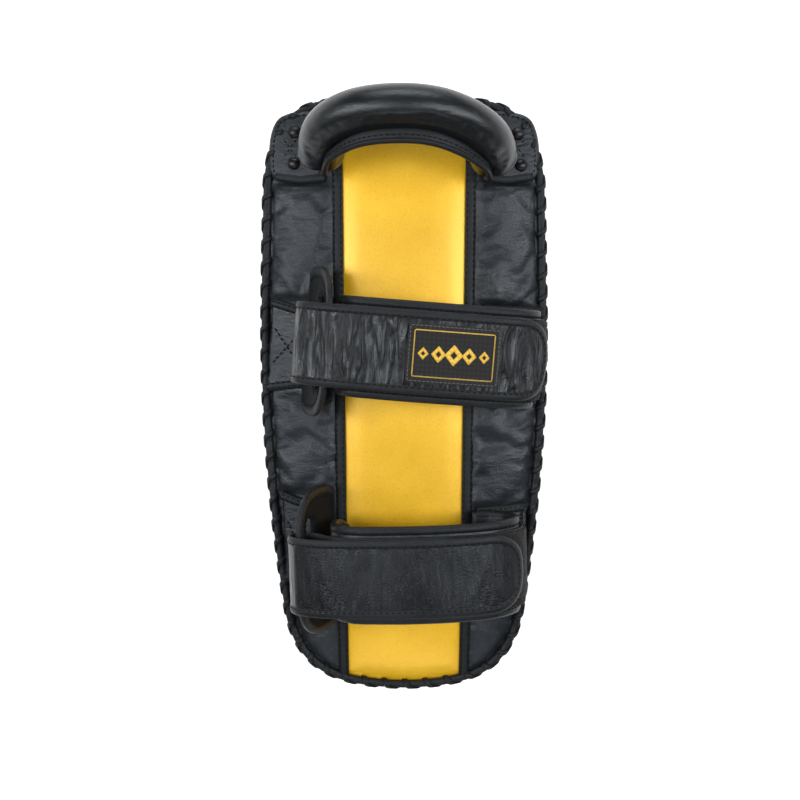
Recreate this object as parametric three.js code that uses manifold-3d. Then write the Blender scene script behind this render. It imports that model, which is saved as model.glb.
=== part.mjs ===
// Long padded Thai kick pad, worn on the forearm: layered foam body in a leather cover,
// a padded crescent grip at the top and two hook-and-loop forearm straps.
// Millimetres. The strike face lies on z = 0, +Z is the arm side, +Y the grip end.
import * as THREE from "three";
import { mergeVertices } from "three/addons/utils/BufferGeometryUtils.js";
import Module from "manifold-3d";

const wasm = await Module();
wasm.setup();

// ---------------------------------------------------------------- driving dimensions
const GAP = 0.3; // clearance between neighbouring solids
const LEATHER = 1.8; // cover leather
const PAD_TOP = 195; // grip end of the pad
const PAD_BOTTOM = -205; // its other end
const PAD_HALF_WIDTH = 94.5;
const EDGE_Z = 77; // height of the laced arm-side edge
const CROWN = 12; // rise of the arm side above that edge
const RIM_Z = 15; // piped edge of the strike face
const GUSSET_LOW = RIM_Z + 3.4;
const GUSSET_DROP = 5; // its upper edge, below the arm surface
const OUTLINE_STEPS = 5; // points on each curve of the outline

const GOLD_HALF_TOP = 41; // centre panel half width at the grip end
const GOLD_HALF_BOTTOM = 38;
const SEAM_BINDING_WIDTH = 7;

const STRAP_THICK = 2.8;
const FLAP_WIDTH = 61;
const FLAP_THICK = 5;
const LINING_THICK = 1.2;
const PATCH_THICK = 1.3; // hook tape and loop tape
const LABEL_WIDTH = 38;
const TIP_ROUNDING = 22; // length of the rounded strap and flap tips
const TAB_WIDTH = 95; // slotted tab, along the pad
const TAB_THICK = 3.2;
const TAB_LIFT = 3.4; // its root above the pad
const SLOT = { length: 60, height: 9, along: 0.71 };
const ARCH_STOPS = 26; // stations along each strap loop

// Each strap: its middle on the pad, its slant in degrees, how far to the right its loop is sewn down
// and bulges, the moves along it of its slotted tab and left anchor, and its left-hand runs as
// [across, height above the pad] points.
const STRAPS = {
  upper: {
    middle: 31,
    slant: -4.5,
    width: 50,
    root: 54,
    bulge: 80,
    tab: { root: -64.5, edge: -48, height: 45, shift: 0 },
    anchorShift: -6,
    flapTip: [[-34, 50], [-39, 42], [-40.5, 32], [-38.5, 22], [-34, 14], [-26, 9]],
    innerLeft: [[-37, 55], [-42.8, 49.5], [-45, 42.5], [-48.5, 37], [-54, 34.8], [-59, 34.6]],
    fold: [[-60.3, 34.4], [-66.5, 37.5], [-68.4, 43.5], [-65, 51], [-58.6, 56]],
    outerLeft: [[-34, 63.8], [-46, 61.2], [-57, 57]],
    closureEnd: 7,
  },
  lower: {
    middle: -110.5,
    slant: 1.5,
    width: 48.5,
    root: 46,
    bulge: 70,
    tab: { root: -47, edge: -67, height: 44, shift: 4 },
    anchorShift: 14,
    flapTip: [[-34, 51], [-41.5, 44], [-44.5, 35], [-43, 25], [-38.5, 16], [-31, 10]],
    innerLeft: [[-36, 55.5], [-45.5, 50], [-52.5, 42], [-59.2, 36.4], [-65.5, 34.6]],
    fold: [[-67.2, 34.4], [-71.6, 37.5], [-72.4, 44], [-68.4, 51.5], [-61.6, 56.2]],
    outerLeft: [[-36, 63.8], [-48, 61.4], [-60, 57]],
    closureEnd: 8,
  },
};

// The grip roll's middle line, as [across, along, height above the pad].
const GRIP_STATIONS = [[-54, 156, 12], [-48, 168.5, 31], [-32, 176, 46], [-8, 178.5, 54],
  [18, 177.2, 52], [38, 171.3, 43], [52, 163, 29], [58, 153, 12]];
const GRIP_RADIUS = 14; // at its middle
const GRIP_END_SWELL = 0.1; // how much wider the roll is at its ends
const FLANGE_WIDTH = 7.4; // stitched band along the roll
const RIVETS = [[-72.5, 152], [-72, 172.5], [77, 151], [75, 171.5]];
const RIVET = { capRadius: 4.2, capHeight: 2.2, shankRadius: 1.6, burrRadius: 4.5, burrThick: 1 };

// ---------------------------------------------------------------- materials
const finish = (color, roughness, metalness = 0) =>
  new THREE.MeshStandardMaterial({ color, roughness, metalness });
const blackLeather = () => finish(0x1c1d21, 0.5);
const goldLeather = () => finish(0xe2ab22, 0.4, 0.3);
const foam = (color) => finish(color, 0.95);
const tape = () => finish(0x0c0c0d, 0.95);
const rivetMetal = () => finish(0x17181a, 0.35, 0.7);

// ---------------------------------------------------------------- solids
const kickPad = new THREE.Group();
const pad = new THREE.Group();
kickPad.add(pad);
pad.position.y = -(PAD_TOP + PAD_BOTTOM) / 2; // the origin lies under the middle of the length

function toSolid(geometry) {
  const bare = geometry.clone();
  bare.deleteAttribute("normal");
  bare.deleteAttribute("uv");
  const merged = mergeVertices(bare, 1e-4);
  return new wasm.Manifold(new wasm.Mesh({
    numProp: 3,
    vertProperties: new Float32Array(merged.attributes.position.array),
    triVerts: new Uint32Array(merged.index.array),
  }));
}

function toGeometry(solid) {
  const mesh = solid.getMesh();
  const geometry = new THREE.BufferGeometry();
  const positions = new Float32Array(mesh.vertProperties);
  geometry.setAttribute("position", new THREE.BufferAttribute(positions, 3));
  geometry.setIndex(new THREE.BufferAttribute(new Uint32Array(mesh.triVerts), 1));
  geometry.computeVertexNormals();
  return geometry;
}

function add(name, geometry, material, parent = pad) {
  const mesh = new THREE.Mesh(geometry, material);
  mesh.name = name;
  parent.add(mesh);
  return mesh;
}

// A closed body through rings of points that all have the same count; the ends are fans.
function loft(rings, closed = false) {
  const count = rings[0].length;
  const positions = rings.flat().flatMap((p) => [p.x, p.y, p.z]);
  const index = [];
  const last = closed ? rings.length : rings.length - 1;
  for (let i = 0; i < last; i++) {
    const a = i * count;
    const b = ((i + 1) % rings.length) * count;
    for (let j = 0; j < count; j++) {
      const k = (j + 1) % count;
      index.push(a + j, a + k, b + k, a + j, b + k, b + j);
    }
  }
  if (!closed) {
    const end = (rings.length - 1) * count;
    for (let j = 1; j < count - 1; j++) {
      index.push(0, j + 1, j);
      index.push(end, end + j, end + j + 1);
    }
  }
  const geometry = new THREE.BufferGeometry();
  geometry.setAttribute("position", new THREE.Float32BufferAttribute(positions, 3));
  geometry.setIndex(signedVolume(positions, index) > 0 ? index : index.reverse());
  geometry.computeVertexNormals();
  return geometry;
}

function signedVolume(positions, index) {
  const corner = (i) => new THREE.Vector3().fromArray(positions, 3 * index[i]);
  let sum = 0;
  for (let i = 0; i < index.length; i += 3) sum += corner(i).dot(corner(i + 1).cross(corner(i + 2)));
  return sum;
}

// ---------------------------------------------------------------- pad outline and arm surface
const half = new THREE.Shape();
half.moveTo(0, PAD_BOTTOM);
half.bezierCurveTo(42, PAD_BOTTOM + 1, 72, PAD_BOTTOM + 10, 80, -152);
half.bezierCurveTo(85, -118, 93, -60, PAD_HALF_WIDTH, 10);
half.bezierCurveTo(95, 60, 93, 100, 92.5, 130);
half.bezierCurveTo(91.5, 168, 80, 189, 52, PAD_TOP - 2);
half.bezierCurveTo(36, PAD_TOP, 18, PAD_TOP, 0, PAD_TOP);
const halfPoints = half.getPoints(OUTLINE_STEPS).filter((p, i, all) =>
  i === 0 || p.distanceTo(all[i - 1]) > 3);

const wholeOutline = [
  ...halfPoints,
  ...halfPoints.slice(1, -1).reverse().map((p) => new THREE.Vector2(-p.x, p.y)),
];

// The outline moved inward by a distance, one point for each outline point.
function inset(distance) {
  const n = wholeOutline.length;
  return wholeOutline.map((p, i) => {
    const before = wholeOutline[(i + n - 1) % n];
    const after = wholeOutline[(i + 1) % n];
    const along = after.clone().sub(before).normalize();
    return new THREE.Vector2(p.x - along.y * distance, p.y + along.x * distance);
  });
}

const ring = (distance, z) => inset(distance).map((p, i) =>
  new THREE.Vector3(p.x, p.y, typeof z === "function" ? z(wholeOutline[i]) : z));

function armSurface(x, y) {
  const across = 1 - Math.abs(x / 97) ** 2.4;
  const along = 1 - Math.abs((y + 5) / 203) ** 6;
  return EDGE_Z + CROWN * Math.max(across, 0) * Math.max(along, 0) - 3 * (y / 200) ** 2;
}

// A solid from one height above the arm surface to another, over a rectangle larger than the pad.
function surfaceSlab(low, high, floor = null) {
  const columns = 11;
  const rows = 10;
  const at = (i, j, lift) => {
    const x = -99 + (198 * i) / columns;
    const y = -210 + (410 * j) / rows;
    const z = lift === null ? floor : armSurface(x, y) + lift;
    return [x, y, z];
  };
  const positions = [];
  const index = [];
  const layer = (lift) => {
    for (let j = 0; j <= rows; j++) for (let i = 0; i <= columns; i++) positions.push(...at(i, j, lift));
  };
  layer(floor === null ? low : null);
  layer(high);
  const id = (i, j, top) => (top ? (columns + 1) * (rows + 1) : 0) + j * (columns + 1) + i;
  for (let j = 0; j < rows; j++) {
    for (let i = 0; i < columns; i++) {
      index.push(id(i, j, 0), id(i, j + 1, 0), id(i + 1, j + 1, 0));
      index.push(id(i, j, 0), id(i + 1, j + 1, 0), id(i + 1, j, 0));
      index.push(id(i, j, 1), id(i + 1, j + 1, 1), id(i, j + 1, 1));
      index.push(id(i, j, 1), id(i + 1, j, 1), id(i + 1, j + 1, 1));
    }
  }
  const wall = (i0, j0, i1, j1) => {
    index.push(id(i0, j0, 0), id(i1, j1, 0), id(i1, j1, 1));
    index.push(id(i0, j0, 0), id(i1, j1, 1), id(i0, j0, 1));
  };
  for (let i = 0; i < columns; i++) {
    wall(i, 0, i + 1, 0);
    wall(i + 1, rows, i, rows);
  }
  for (let j = 0; j < rows; j++) {
    wall(columns, j, columns, j + 1);
    wall(0, j + 1, 0, j);
  }
  const geometry = new THREE.BufferGeometry();
  geometry.setAttribute("position", new THREE.Float32BufferAttribute(positions, 3));
  geometry.setIndex(index);
  return toSolid(geometry);
}

function prism(points, low = -20, high = 260) {
  const shape = new THREE.Shape(points);
  const geometry = new THREE.ExtrudeGeometry(shape, { depth: high - low, bevelEnabled: false });
  geometry.translate(0, 0, low);
  return toSolid(geometry);
}

// A flat piece laid on the arm surface: the plan outline, its lift off the surface and thickness.
const draped = (plan, lift, thickness) =>
  surfaceSlab(lift, lift + thickness).intersect(prism(plan));

const insidePad = prism(inset(4));
const box2 = (x0, y0, x1, y1) => [[x0, y0], [x1, y0], [x1, y1], [x0, y1]]
  .map(([x, y]) => new THREE.Vector2(x, y));

// ---------------------------------------------------------------- rivets and their bores
const rivetFrames = RIVETS.map(([x, y]) => {
  const slopeX = (armSurface(x + 1, y) - armSurface(x - 1, y)) / 2;
  const slopeY = (armSurface(x, y + 1) - armSurface(x, y - 1)) / 2;
  const normal = new THREE.Vector3(-slopeX, -slopeY, 1).normalize();
  const turn = new THREE.Quaternion().setFromUnitVectors(new THREE.Vector3(0, 0, 1), normal);
  return { place: new THREE.Vector3(x, y, armSurface(x, y)), turn };
});

function bored(solid, radius) {
  return rivetFrames.reduce((rest, { place, turn }) => {
    const bore = new THREE.CylinderGeometry(radius, radius, 30, 12).rotateX(Math.PI / 2);
    bore.applyQuaternion(turn).translate(place.x, place.y, place.z);
    return rest.subtract(toSolid(bore));
  }, solid);
}

// ---------------------------------------------------------------- foam body and covers
function buildBody() {
  const strikeOuter = loft([ring(24, 0), ring(13, 1.4), ring(6, 5.5), ring(2.4, RIM_Z)]);
  const strikeInner = loft([ring(25, 2), ring(14.6, 3.3), ring(8, 7), ring(4.4, RIM_Z + 1)]);
  add("strike_cover", toGeometry(toSolid(strikeOuter).subtract(toSolid(strikeInner))), blackLeather());

  const gussetTop = (over) => (p) => armSurface(p.x, p.y) - GUSSET_DROP + over;
  const gussetOuter = loft([ring(1.6, GUSSET_LOW), ring(-0.4, 45), ring(1.2, gussetTop(0))]);
  const gussetInner = loft([ring(3.8, GUSSET_LOW - 1), ring(1.6, 45), ring(3.4, gussetTop(1))]);
  add("side_gusset", toGeometry(toSolid(gussetOuter).subtract(toSolid(gussetInner))), blackLeather());

  edgeRing("front_welt", -0.2, () => RIM_Z + 1.7, 1.9, 1.3, blackLeather());
  const edgeHeight = (p) => armSurface(p.x, p.y) - 0.6;
  edgeRing("edge_binding", 0.9, edgeHeight, 2.2, 3.4, blackLeather());
  edgeRing("edge_lacing", -2.9, edgeHeight, 1.2, 3.2, blackLeather());

  const layer = (name, low, high, color) => {
    const slab = loft([ring(6, low), ring(6, high)]);
    add(name, slab, foam(color));
  };
  const strikeFoam = loft([ring(27, 2.6), ring(16.5, 3.9), ring(10, 7.6), ring(6, RIM_Z), ring(6, 29)]);
  add("foam_strike_layer", strikeFoam, foam(0x9aa0a6));
  layer("foam_shock_layer", 29 + GAP, 45, 0x3f8fd0);
  layer("foam_core_layer", 45 + GAP, 61, 0xd8d4c6);
  const backFoam = surfaceSlab(0, -LEATHER - 1.6 - 3 * GAP, 61 + GAP).intersect(prism(inset(6)));
  add("foam_back_layer", toGeometry(bored(backFoam, RIVET.burrRadius + 0.5)), foam(0xc9b48a));

  const sheet = surfaceSlab(-LEATHER - 1.3 - 2 * GAP, -LEATHER - 2 * GAP).intersect(prism(inset(7.5)));
  add("reinforcement_sheet", toGeometry(bored(sheet, RIVET.shankRadius + 0.2)), finish(0x6b5a44, 0.85));

  const seamTop = GOLD_HALF_TOP + SEAM_BINDING_WIDTH / 2;
  const seamBottom = GOLD_HALF_BOTTOM + SEAM_BINDING_WIDTH / 2;
  const strip = (inTop, inBottom, outTop, outBottom, side) => {
    const points = [[inBottom, -215], [outBottom, -215], [outTop, 205], [inTop, 205]];
    const plan = points.map(([x, y]) => new THREE.Vector2(side * x, y));
    return side > 0 ? plan : plan.reverse();
  };
  const cover = (plan) => draped(plan, -LEATHER - GAP, LEATHER).intersect(insidePad);
  const reach = (offset) => [seamTop + offset, seamBottom + offset];
  const centre = [[-seamBottom + GAP, -215], [seamBottom - GAP, -215], [seamTop - GAP, 205],
    [-seamTop + GAP, 205]].map(([x, y]) => new THREE.Vector2(x, y));
  add("back_panel_centre", toGeometry(cover(centre)), goldLeather());
  for (const [side, word] of [[-1, "left"], [1, "right"]]) {
    const panel = cover(strip(...reach(0), 120, 120, side));
    add(`back_panel_${word}`, toGeometry(bored(panel, RIVET.shankRadius + 0.2)), blackLeather());
    const halfStrip = SEAM_BINDING_WIDTH / 2;
    const plan = strip(...reach(-halfStrip), ...reach(halfStrip), side);
    const binding = draped(plan, GAP, 1.4).intersect(insidePad);
    add(`seam_binding_${word}`, toGeometry(binding), blackLeather());
  }
}

// A closed ring of oval section round the pad: inset of its middle, its height, half sizes.
function edgeRing(name, distance, height, halfAcross, halfUp, material) {
  const sides = 5;
  const middle = inset(distance);
  const n = middle.length;
  const rings = middle.map((p, i) => {
    const along = middle[(i + 1) % n].clone().sub(middle[(i + n - 1) % n]).normalize();
    const z = height(wholeOutline[i]);
    return Array.from({ length: sides }, (_, k) => {
      const angle = (2 * Math.PI * (k + 0.5)) / sides;
      const out = Math.cos(angle) * halfAcross;
      return new THREE.Vector3(p.x + along.y * out, p.y - along.x * out, z + Math.sin(angle) * halfUp);
    });
  });
  add(name, loft(rings, true), material);
}

// ---------------------------------------------------------------- grip
const gripCurve = new THREE.CatmullRomCurve3(GRIP_STATIONS.map(([x, y, rise]) =>
  new THREE.Vector3(x, y, armSurface(0, 0) + rise)));
const gripLength = gripCurve.getLength();
const GRIP_STOPS = 16;
const PAST_END = 0.05; // how far a cutting body runs past the ends of the roll

// Places along the grip, with the directions toward the pad's grip end and away from the hand.
function gripPlaces(endShift) {
  const stops = Array.from({ length: GRIP_STOPS + 1 }, (_, i) => i / GRIP_STOPS);
  if (endShift > 0) {
    stops.unshift(-endShift);
    stops.push(1 + endShift);
  } else {
    stops[0] -= endShift;
    stops[GRIP_STOPS] += endShift;
  }
  return stops.map((t) => {
    const inCurve = THREE.MathUtils.clamp(t, 0, 1);
    const along = gripCurve.getTangentAt(inCurve);
    const place = gripCurve.getPointAt(inCurve).addScaledVector(along, (t - inCurve) * gripLength);
    const toEnd = new THREE.Vector3(0, 1, 0).addScaledVector(along, -along.y).normalize();
    const up = new THREE.Vector3().crossVectors(along, toEnd);
    return { place, toEnd, up, swell: 1 + GRIP_END_SWELL * (1 - Math.sin(Math.PI * inCurve)) };
  });
}

function gripRoll(endShift, shrink, sides = 12) {
  return loft(gripPlaces(endShift).map(({ place, toEnd, up, swell }) =>
    Array.from({ length: sides }, (_, k) => {
      const angle = (2 * Math.PI * k) / sides;
      return place.clone()
        .addScaledVector(toEnd, Math.cos(angle) * (GRIP_RADIUS * swell - shrink))
        .addScaledVector(up, Math.sin(angle) * (GRIP_RADIUS * swell - shrink));
    })));
}

// A flat band along the grip, moved by a distance toward the pad's bottom.
function gripBand(endShift, halfWide, halfThick, shift) {
  return loft(gripPlaces(endShift).map(({ place, toEnd, up, swell }) =>
    [[-1, -1], [1, -1], [1, 1], [-1, 1]].map(([a, b]) => place.clone()
      .addScaledVector(toEnd, a * halfWide - shift * swell)
      .addScaledVector(up, b * halfThick))));
}

function buildGrip() {
  const shell = toSolid(gripRoll(0, 0)).subtract(toSolid(gripRoll(PAST_END, 2)));
  add("grip_cover", toGeometry(shell), blackLeather());
  const channel = toSolid(gripBand(PAST_END, 10.4, 1.5, 0));
  const core = toSolid(gripRoll(-0.004, 2 + GAP)).subtract(channel);
  add("grip_foam", toGeometry(core), foam(0xc7c2b4));
  add("grip_webbing", gripBand(0.015, 10, 1.1, 0), finish(0x202020, 0.9));
  add("grip_flange", gripBand(-0.03, FLANGE_WIDTH / 2, 1.2, GRIP_RADIUS + 1 + FLANGE_WIDTH / 2),
    blackLeather());

  for (const [side, word] of [[-1, "left"], [1, "right"]]) {
    const corners = [[60, 139], [86, 143], [88.5, 155], [86.5, 175], [80, 184], [64, 186], [58, 165]];
    const plan = corners.map(([x, y]) => new THREE.Vector2(side * x, y));
    const tab = draped(side > 0 ? plan : plan.reverse(), GAP, 2.6).intersect(insidePad);
    add(`grip_tab_${word}`, toGeometry(bored(tab, RIVET.shankRadius + 0.2)), blackLeather());
  }

  const { capRadius, capHeight, shankRadius, burrRadius, burrThick } = RIVET;
  const seat = 2.6 + 2 * GAP + 0.2;
  const burrTop = -LEATHER - 1.6 - 5 * GAP;
  const tail = burrTop - 2;
  const capProfile = [[0, tail], [shankRadius, tail], [shankRadius, seat], [capRadius, seat],
    [capRadius, seat + 0.6], [capRadius * 0.6, seat + capHeight * 0.85], [0, seat + capHeight]];
  const burrProfile = [[shankRadius + GAP, burrTop - burrThick], [burrRadius, burrTop - burrThick],
    [burrRadius, burrTop], [shankRadius + GAP, burrTop], [shankRadius + GAP, burrTop - burrThick]];
  rivetFrames.forEach(({ place, turn }, i) => {
    for (const [word, profile] of [["rivet", capProfile], ["rivet_burr", burrProfile]]) {
      const points = profile.map(([r, z]) => new THREE.Vector2(r, z));
      const turned = new THREE.LatheGeometry(points, 14).rotateX(Math.PI / 2);
      const mesh = add(`${word}_${i + 1}`, turned, rivetMetal());
      mesh.position.copy(place);
      mesh.quaternion.copy(turn);
    }
  });
}

// ---------------------------------------------------------------- forearm straps
// The inner face of each strap loop, from its sewn root on the right to the left end of the arch.
function archCurve({ root, bulge }) {
  const points = [[root, 13.2], [bulge - 13, 14], [bulge - 3, 20], [bulge - 1.5, 31], [bulge - 13, 43],
    [34, 50], [0, 52], [-26, 49.5]];
  return new THREE.CatmullRomCurve3(points.map(([u, z]) => new THREE.Vector3(u, 0, z)));
}

// Unit normal of a run, away from the arm inside the loop.
const outward = (tangent) => new THREE.Vector3(tangent.z, 0, -tangent.x);

// Stations of a layer lying at a distance outside the arch, between two of its stops.
function archStations(arch, from, to, distance) {
  return Array.from({ length: to - from + 1 }, (_, i) => {
    const t = (from + i) / ARCH_STOPS;
    const out = outward(arch.getTangentAt(t));
    return { place: arch.getPointAt(t).addScaledVector(out, distance), out };
  });
}

// Stations through points, leaving out the first where it continues another run.
function freeStations(points, steps, skipFirst = false) {
  const curve = new THREE.CatmullRomCurve3(points);
  const all = Array.from({ length: steps + 1 }, (_, i) => ({
    place: curve.getPointAt(i / steps),
    out: outward(curve.getTangentAt(i / steps)),
  }));
  return skipFirst ? all.slice(1) : all;
}

const continued = (run, points, steps) =>
  [...run, ...freeStations([run[run.length - 1].place, ...points], steps, true)];

// A flat run of strap through its stations, with square ends, or rounded over a length.
function ribbon(stations, width, thickness, roundStart = 0, roundEnd = 0) {
  const along = [0];
  for (let i = 1; i < stations.length; i++) {
    along.push(along[i - 1] + stations[i].place.distanceTo(stations[i - 1].place));
  }
  const length = along[along.length - 1];
  return loft(stations.map(({ place, out }, i) => {
    const fromStart = roundStart ? Math.min(1, along[i] / roundStart) : 1;
    const fromEnd = roundEnd ? Math.min(1, (length - along[i]) / roundEnd) : 1;
    const near = Math.min(fromStart, fromEnd);
    const halfWide = (width / 2) * (0.45 + 0.55 * Math.sqrt(1 - (1 - near) ** 2));
    return [[-1, -1], [1, -1], [1, 1], [-1, 1]].map(([v, n]) => place.clone()
      .add(new THREE.Vector3(0, v * halfWide, 0))
      .addScaledVector(out, (n * thickness) / 2));
  }));
}

const points3 = (list) => list.map(([u, z]) => new THREE.Vector3(u, 0, z));

function slottedTab({ root, edge, height }) {
  const length = Math.hypot(edge - root, height);
  const w = TAB_WIDTH / 2;
  const corner = 24;
  const shape = new THREE.Shape();
  shape.moveTo(-w + 4, 0);
  shape.lineTo(w - 4, 0);
  shape.lineTo(w, 10);
  shape.lineTo(w, length - corner);
  shape.absarc(w - corner, length - corner, corner, 0, Math.PI / 2);
  shape.lineTo(-w + corner, length);
  shape.absarc(-w + corner, length - corner, corner, Math.PI / 2, Math.PI);
  shape.lineTo(-w, 10);
  const slotLow = SLOT.along * length - SLOT.height / 2;
  const hole = box2(-SLOT.length / 2, slotLow, SLOT.length / 2, slotLow + SLOT.height);
  shape.holes.push(new THREE.Path(hole));
  const plate = new THREE.ExtrudeGeometry(shape, {
    depth: TAB_THICK, bevelEnabled: false, curveSegments: 5,
  });
  // plan x runs along the pad, plan y up the tab
  plate.translate(0, 0, -TAB_THICK / 2);
  plate.rotateX(Math.PI / 2);
  plate.rotateZ(Math.PI / 2);
  plate.rotateY(Math.atan2(edge - root, height));
  plate.translate(root, 0, 0);
  return plate;
}

function buildStrap(name, strap) {
  const place = new THREE.Group();
  const floor = armSurface(52, strap.middle);
  place.position.set(0, strap.middle, floor);
  place.rotation.z = THREE.MathUtils.degToRad(strap.slant);
  pad.add(place);

  const arch = archCurve(strap);
  const lining = LINING_THICK / 2;
  const flap = LINING_THICK + GAP + FLAP_THICK / 2;
  const inner = flap + FLAP_THICK / 2 + GAP + STRAP_THICK / 2;
  const loop = inner + STRAP_THICK / 2 + GAP + PATCH_THICK / 2;
  const hook = loop + PATCH_THICK + GAP;
  const outer = hook + PATCH_THICK / 2 + GAP + STRAP_THICK / 2;
  const piece = (suffix, geometry, material) =>
    add(`${name}_${suffix}`, geometry, material, place);

  const last = ARCH_STOPS;
  const flapRun = continued(archStations(arch, 0, last, flap), points3(strap.flapTip), 9);
  piece("flap", ribbon(flapRun, FLAP_WIDTH, FLAP_THICK, 0, TIP_ROUNDING), blackLeather());
  const liningRun = archStations(arch, 1, last - 1, lining);
  piece("flap_lining", ribbon(liningRun, FLAP_WIDTH - 6, LINING_THICK), finish(0x4a4a36, 0.9));

  const innerRun = continued(archStations(arch, 0, last - 1, inner), points3(strap.innerLeft), 8);
  piece("closure_inner", ribbon(innerRun, strap.width, STRAP_THICK), blackLeather());
  const foldRun = freeStations(points3(strap.fold), 9);
  piece("closure_fold", ribbon(foldRun, strap.width, STRAP_THICK), blackLeather());
  const { closureEnd } = strap;
  const outerRun = continued(archStations(arch, closureEnd, last - 1, outer), points3(strap.outerLeft), 5);
  piece("closure_end", ribbon(outerRun, strap.width, STRAP_THICK, TIP_ROUNDING, 0), blackLeather());
  const loopRun = archStations(arch, 5, 16, loop);
  piece("loop_patch", ribbon(loopRun, strap.width - 6, PATCH_THICK), tape());
  const hookRun = archStations(arch, closureEnd + 2, closureEnd + 8, hook);
  piece("hook_patch", ribbon(hookRun, strap.width - 8, PATCH_THICK), tape());
  if (name === "upper") {
    const labelRun = archStations(arch, 14, 20, outer + STRAP_THICK / 2 + GAP + 0.5);
    piece("label_patch", ribbon(labelRun, LABEL_WIDTH, 1), finish(0x101010, 0.7));
  }

  const tab = piece("slot_tab", slottedTab(strap.tab), blackLeather());
  tab.position.set(0, strap.tab.shift, TAB_LIFT);
  buildAnchors(name, strap);
}

// The flat pieces sewn on the pad under each end of a strap; their long edges flare outward.
function buildAnchors(name, strap) {
  const turn = (u, v) => new THREE.Vector2(u, v)
    .rotateAround(new THREE.Vector2(0, 0), THREE.MathUtils.degToRad(strap.slant))
    .add(new THREE.Vector2(0, strap.middle));
  const edge = (side) => halfWidthAt(strap.middle) * side - side * 5;
  const left = [[edge(-1), -31], [-51, -25], [-51, 25], [edge(-1), 31]]
    .map(([u, v]) => [u, v + strap.anchorShift]);
  const right = [[50, -25], [edge(1), -31], [edge(1), 31], [50, 25]];
  for (const [word, plan] of [["left", left], ["right", right]]) {
    const laid = draped(plan.map(([u, v]) => turn(u, v)), GAP, 1.8).intersect(insidePad);
    add(`${name}_anchor_${word}`, toGeometry(laid), blackLeather());
  }
}

function halfWidthAt(y) {
  const i = halfPoints.findIndex((p, k) => k > 0 && p.y >= y);
  const a = halfPoints[i - 1];
  const b = halfPoints[i];
  return THREE.MathUtils.mapLinear(y, a.y, b.y, a.x, b.x);
}

buildBody();
buildGrip();
for (const [name, strap] of Object.entries(STRAPS)) buildStrap(name, strap);

export default kickPad;
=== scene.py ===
"""A Thai kick pad's looks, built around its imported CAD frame. Lengths are millimetres until scaled."""
import math

import bmesh
import bpy
import numpy as np
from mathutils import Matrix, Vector, noise


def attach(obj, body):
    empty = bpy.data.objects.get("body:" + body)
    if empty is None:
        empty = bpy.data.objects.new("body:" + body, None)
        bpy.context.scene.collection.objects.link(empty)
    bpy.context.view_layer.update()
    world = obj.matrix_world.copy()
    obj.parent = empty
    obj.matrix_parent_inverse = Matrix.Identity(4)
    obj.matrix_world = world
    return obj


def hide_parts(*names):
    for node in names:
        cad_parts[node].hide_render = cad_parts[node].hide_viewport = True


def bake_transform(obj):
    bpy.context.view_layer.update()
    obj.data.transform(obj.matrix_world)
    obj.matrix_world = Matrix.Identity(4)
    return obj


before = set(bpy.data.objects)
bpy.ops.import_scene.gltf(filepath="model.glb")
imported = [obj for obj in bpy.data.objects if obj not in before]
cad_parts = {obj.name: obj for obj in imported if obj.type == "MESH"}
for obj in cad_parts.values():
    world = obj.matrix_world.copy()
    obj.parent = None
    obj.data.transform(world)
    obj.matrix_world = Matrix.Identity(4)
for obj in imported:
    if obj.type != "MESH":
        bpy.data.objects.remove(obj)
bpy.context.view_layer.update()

MM = 0.001
UP = np.array([0.0, 0.0, 1.0])

# ------------------------------------------------------------------ driving sizes
PAD_TOP = 200.0
PAD_BOTTOM = -200.0
PAD_HALF_WIDTH = 94.5
EDGE_Z = 77.0
CROWN = 12.0
RIM_Z = 15.0
MIDDLE_SHIFT = 5.0  # the crown's middle, along the pad
GOLD_HALF_TOP = 41.0
GOLD_HALF_BOTTOM = 38.0
SEAM_BINDING = 7.0

STRAP_THICK = 2.8
FLAP_WIDTH = 61.0
FLAP_THICK = 5.0
LINING_THICK = 1.2
PATCH_THICK = 1.3
GAP = 0.3
TAB_WIDTH = 95.0
TAB_THICK = 3.2
TAB_LIFT = 3.4
TAB_CORNER = 24.0
SLOT_LENGTH = 60.0
SLOT_HEIGHT = 9.0
SLOT_ALONG = 0.71  # the slot's middle, as a share of its tab's length
ARCH_STOPS = 26

BOUND_WIDTH = 4.6  # binding folded over a strap's edge
BOUND_STITCH = 3.4  # its stitch row, from that edge
FLAP_TIP = 22.0  # lengths of the rounded tips
STRAP_TIP = 24.0
LACE_WRAPS = 72
EDGE_SINK = 0.4  # the edge binding's middle, below the arm side
LACE_REACH_OUT = 3.3  # from the middle of the edge binding
LACE_REACH_UP = 3.9
LABEL_LENGTH = 57.0
LABEL_WIDTH = 36.0
CLOTH_FRAMES = 20
CLOTH_STIFFNESS = 12.0
BEYOND = 200.0  # past the pad's outline on either side

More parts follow.
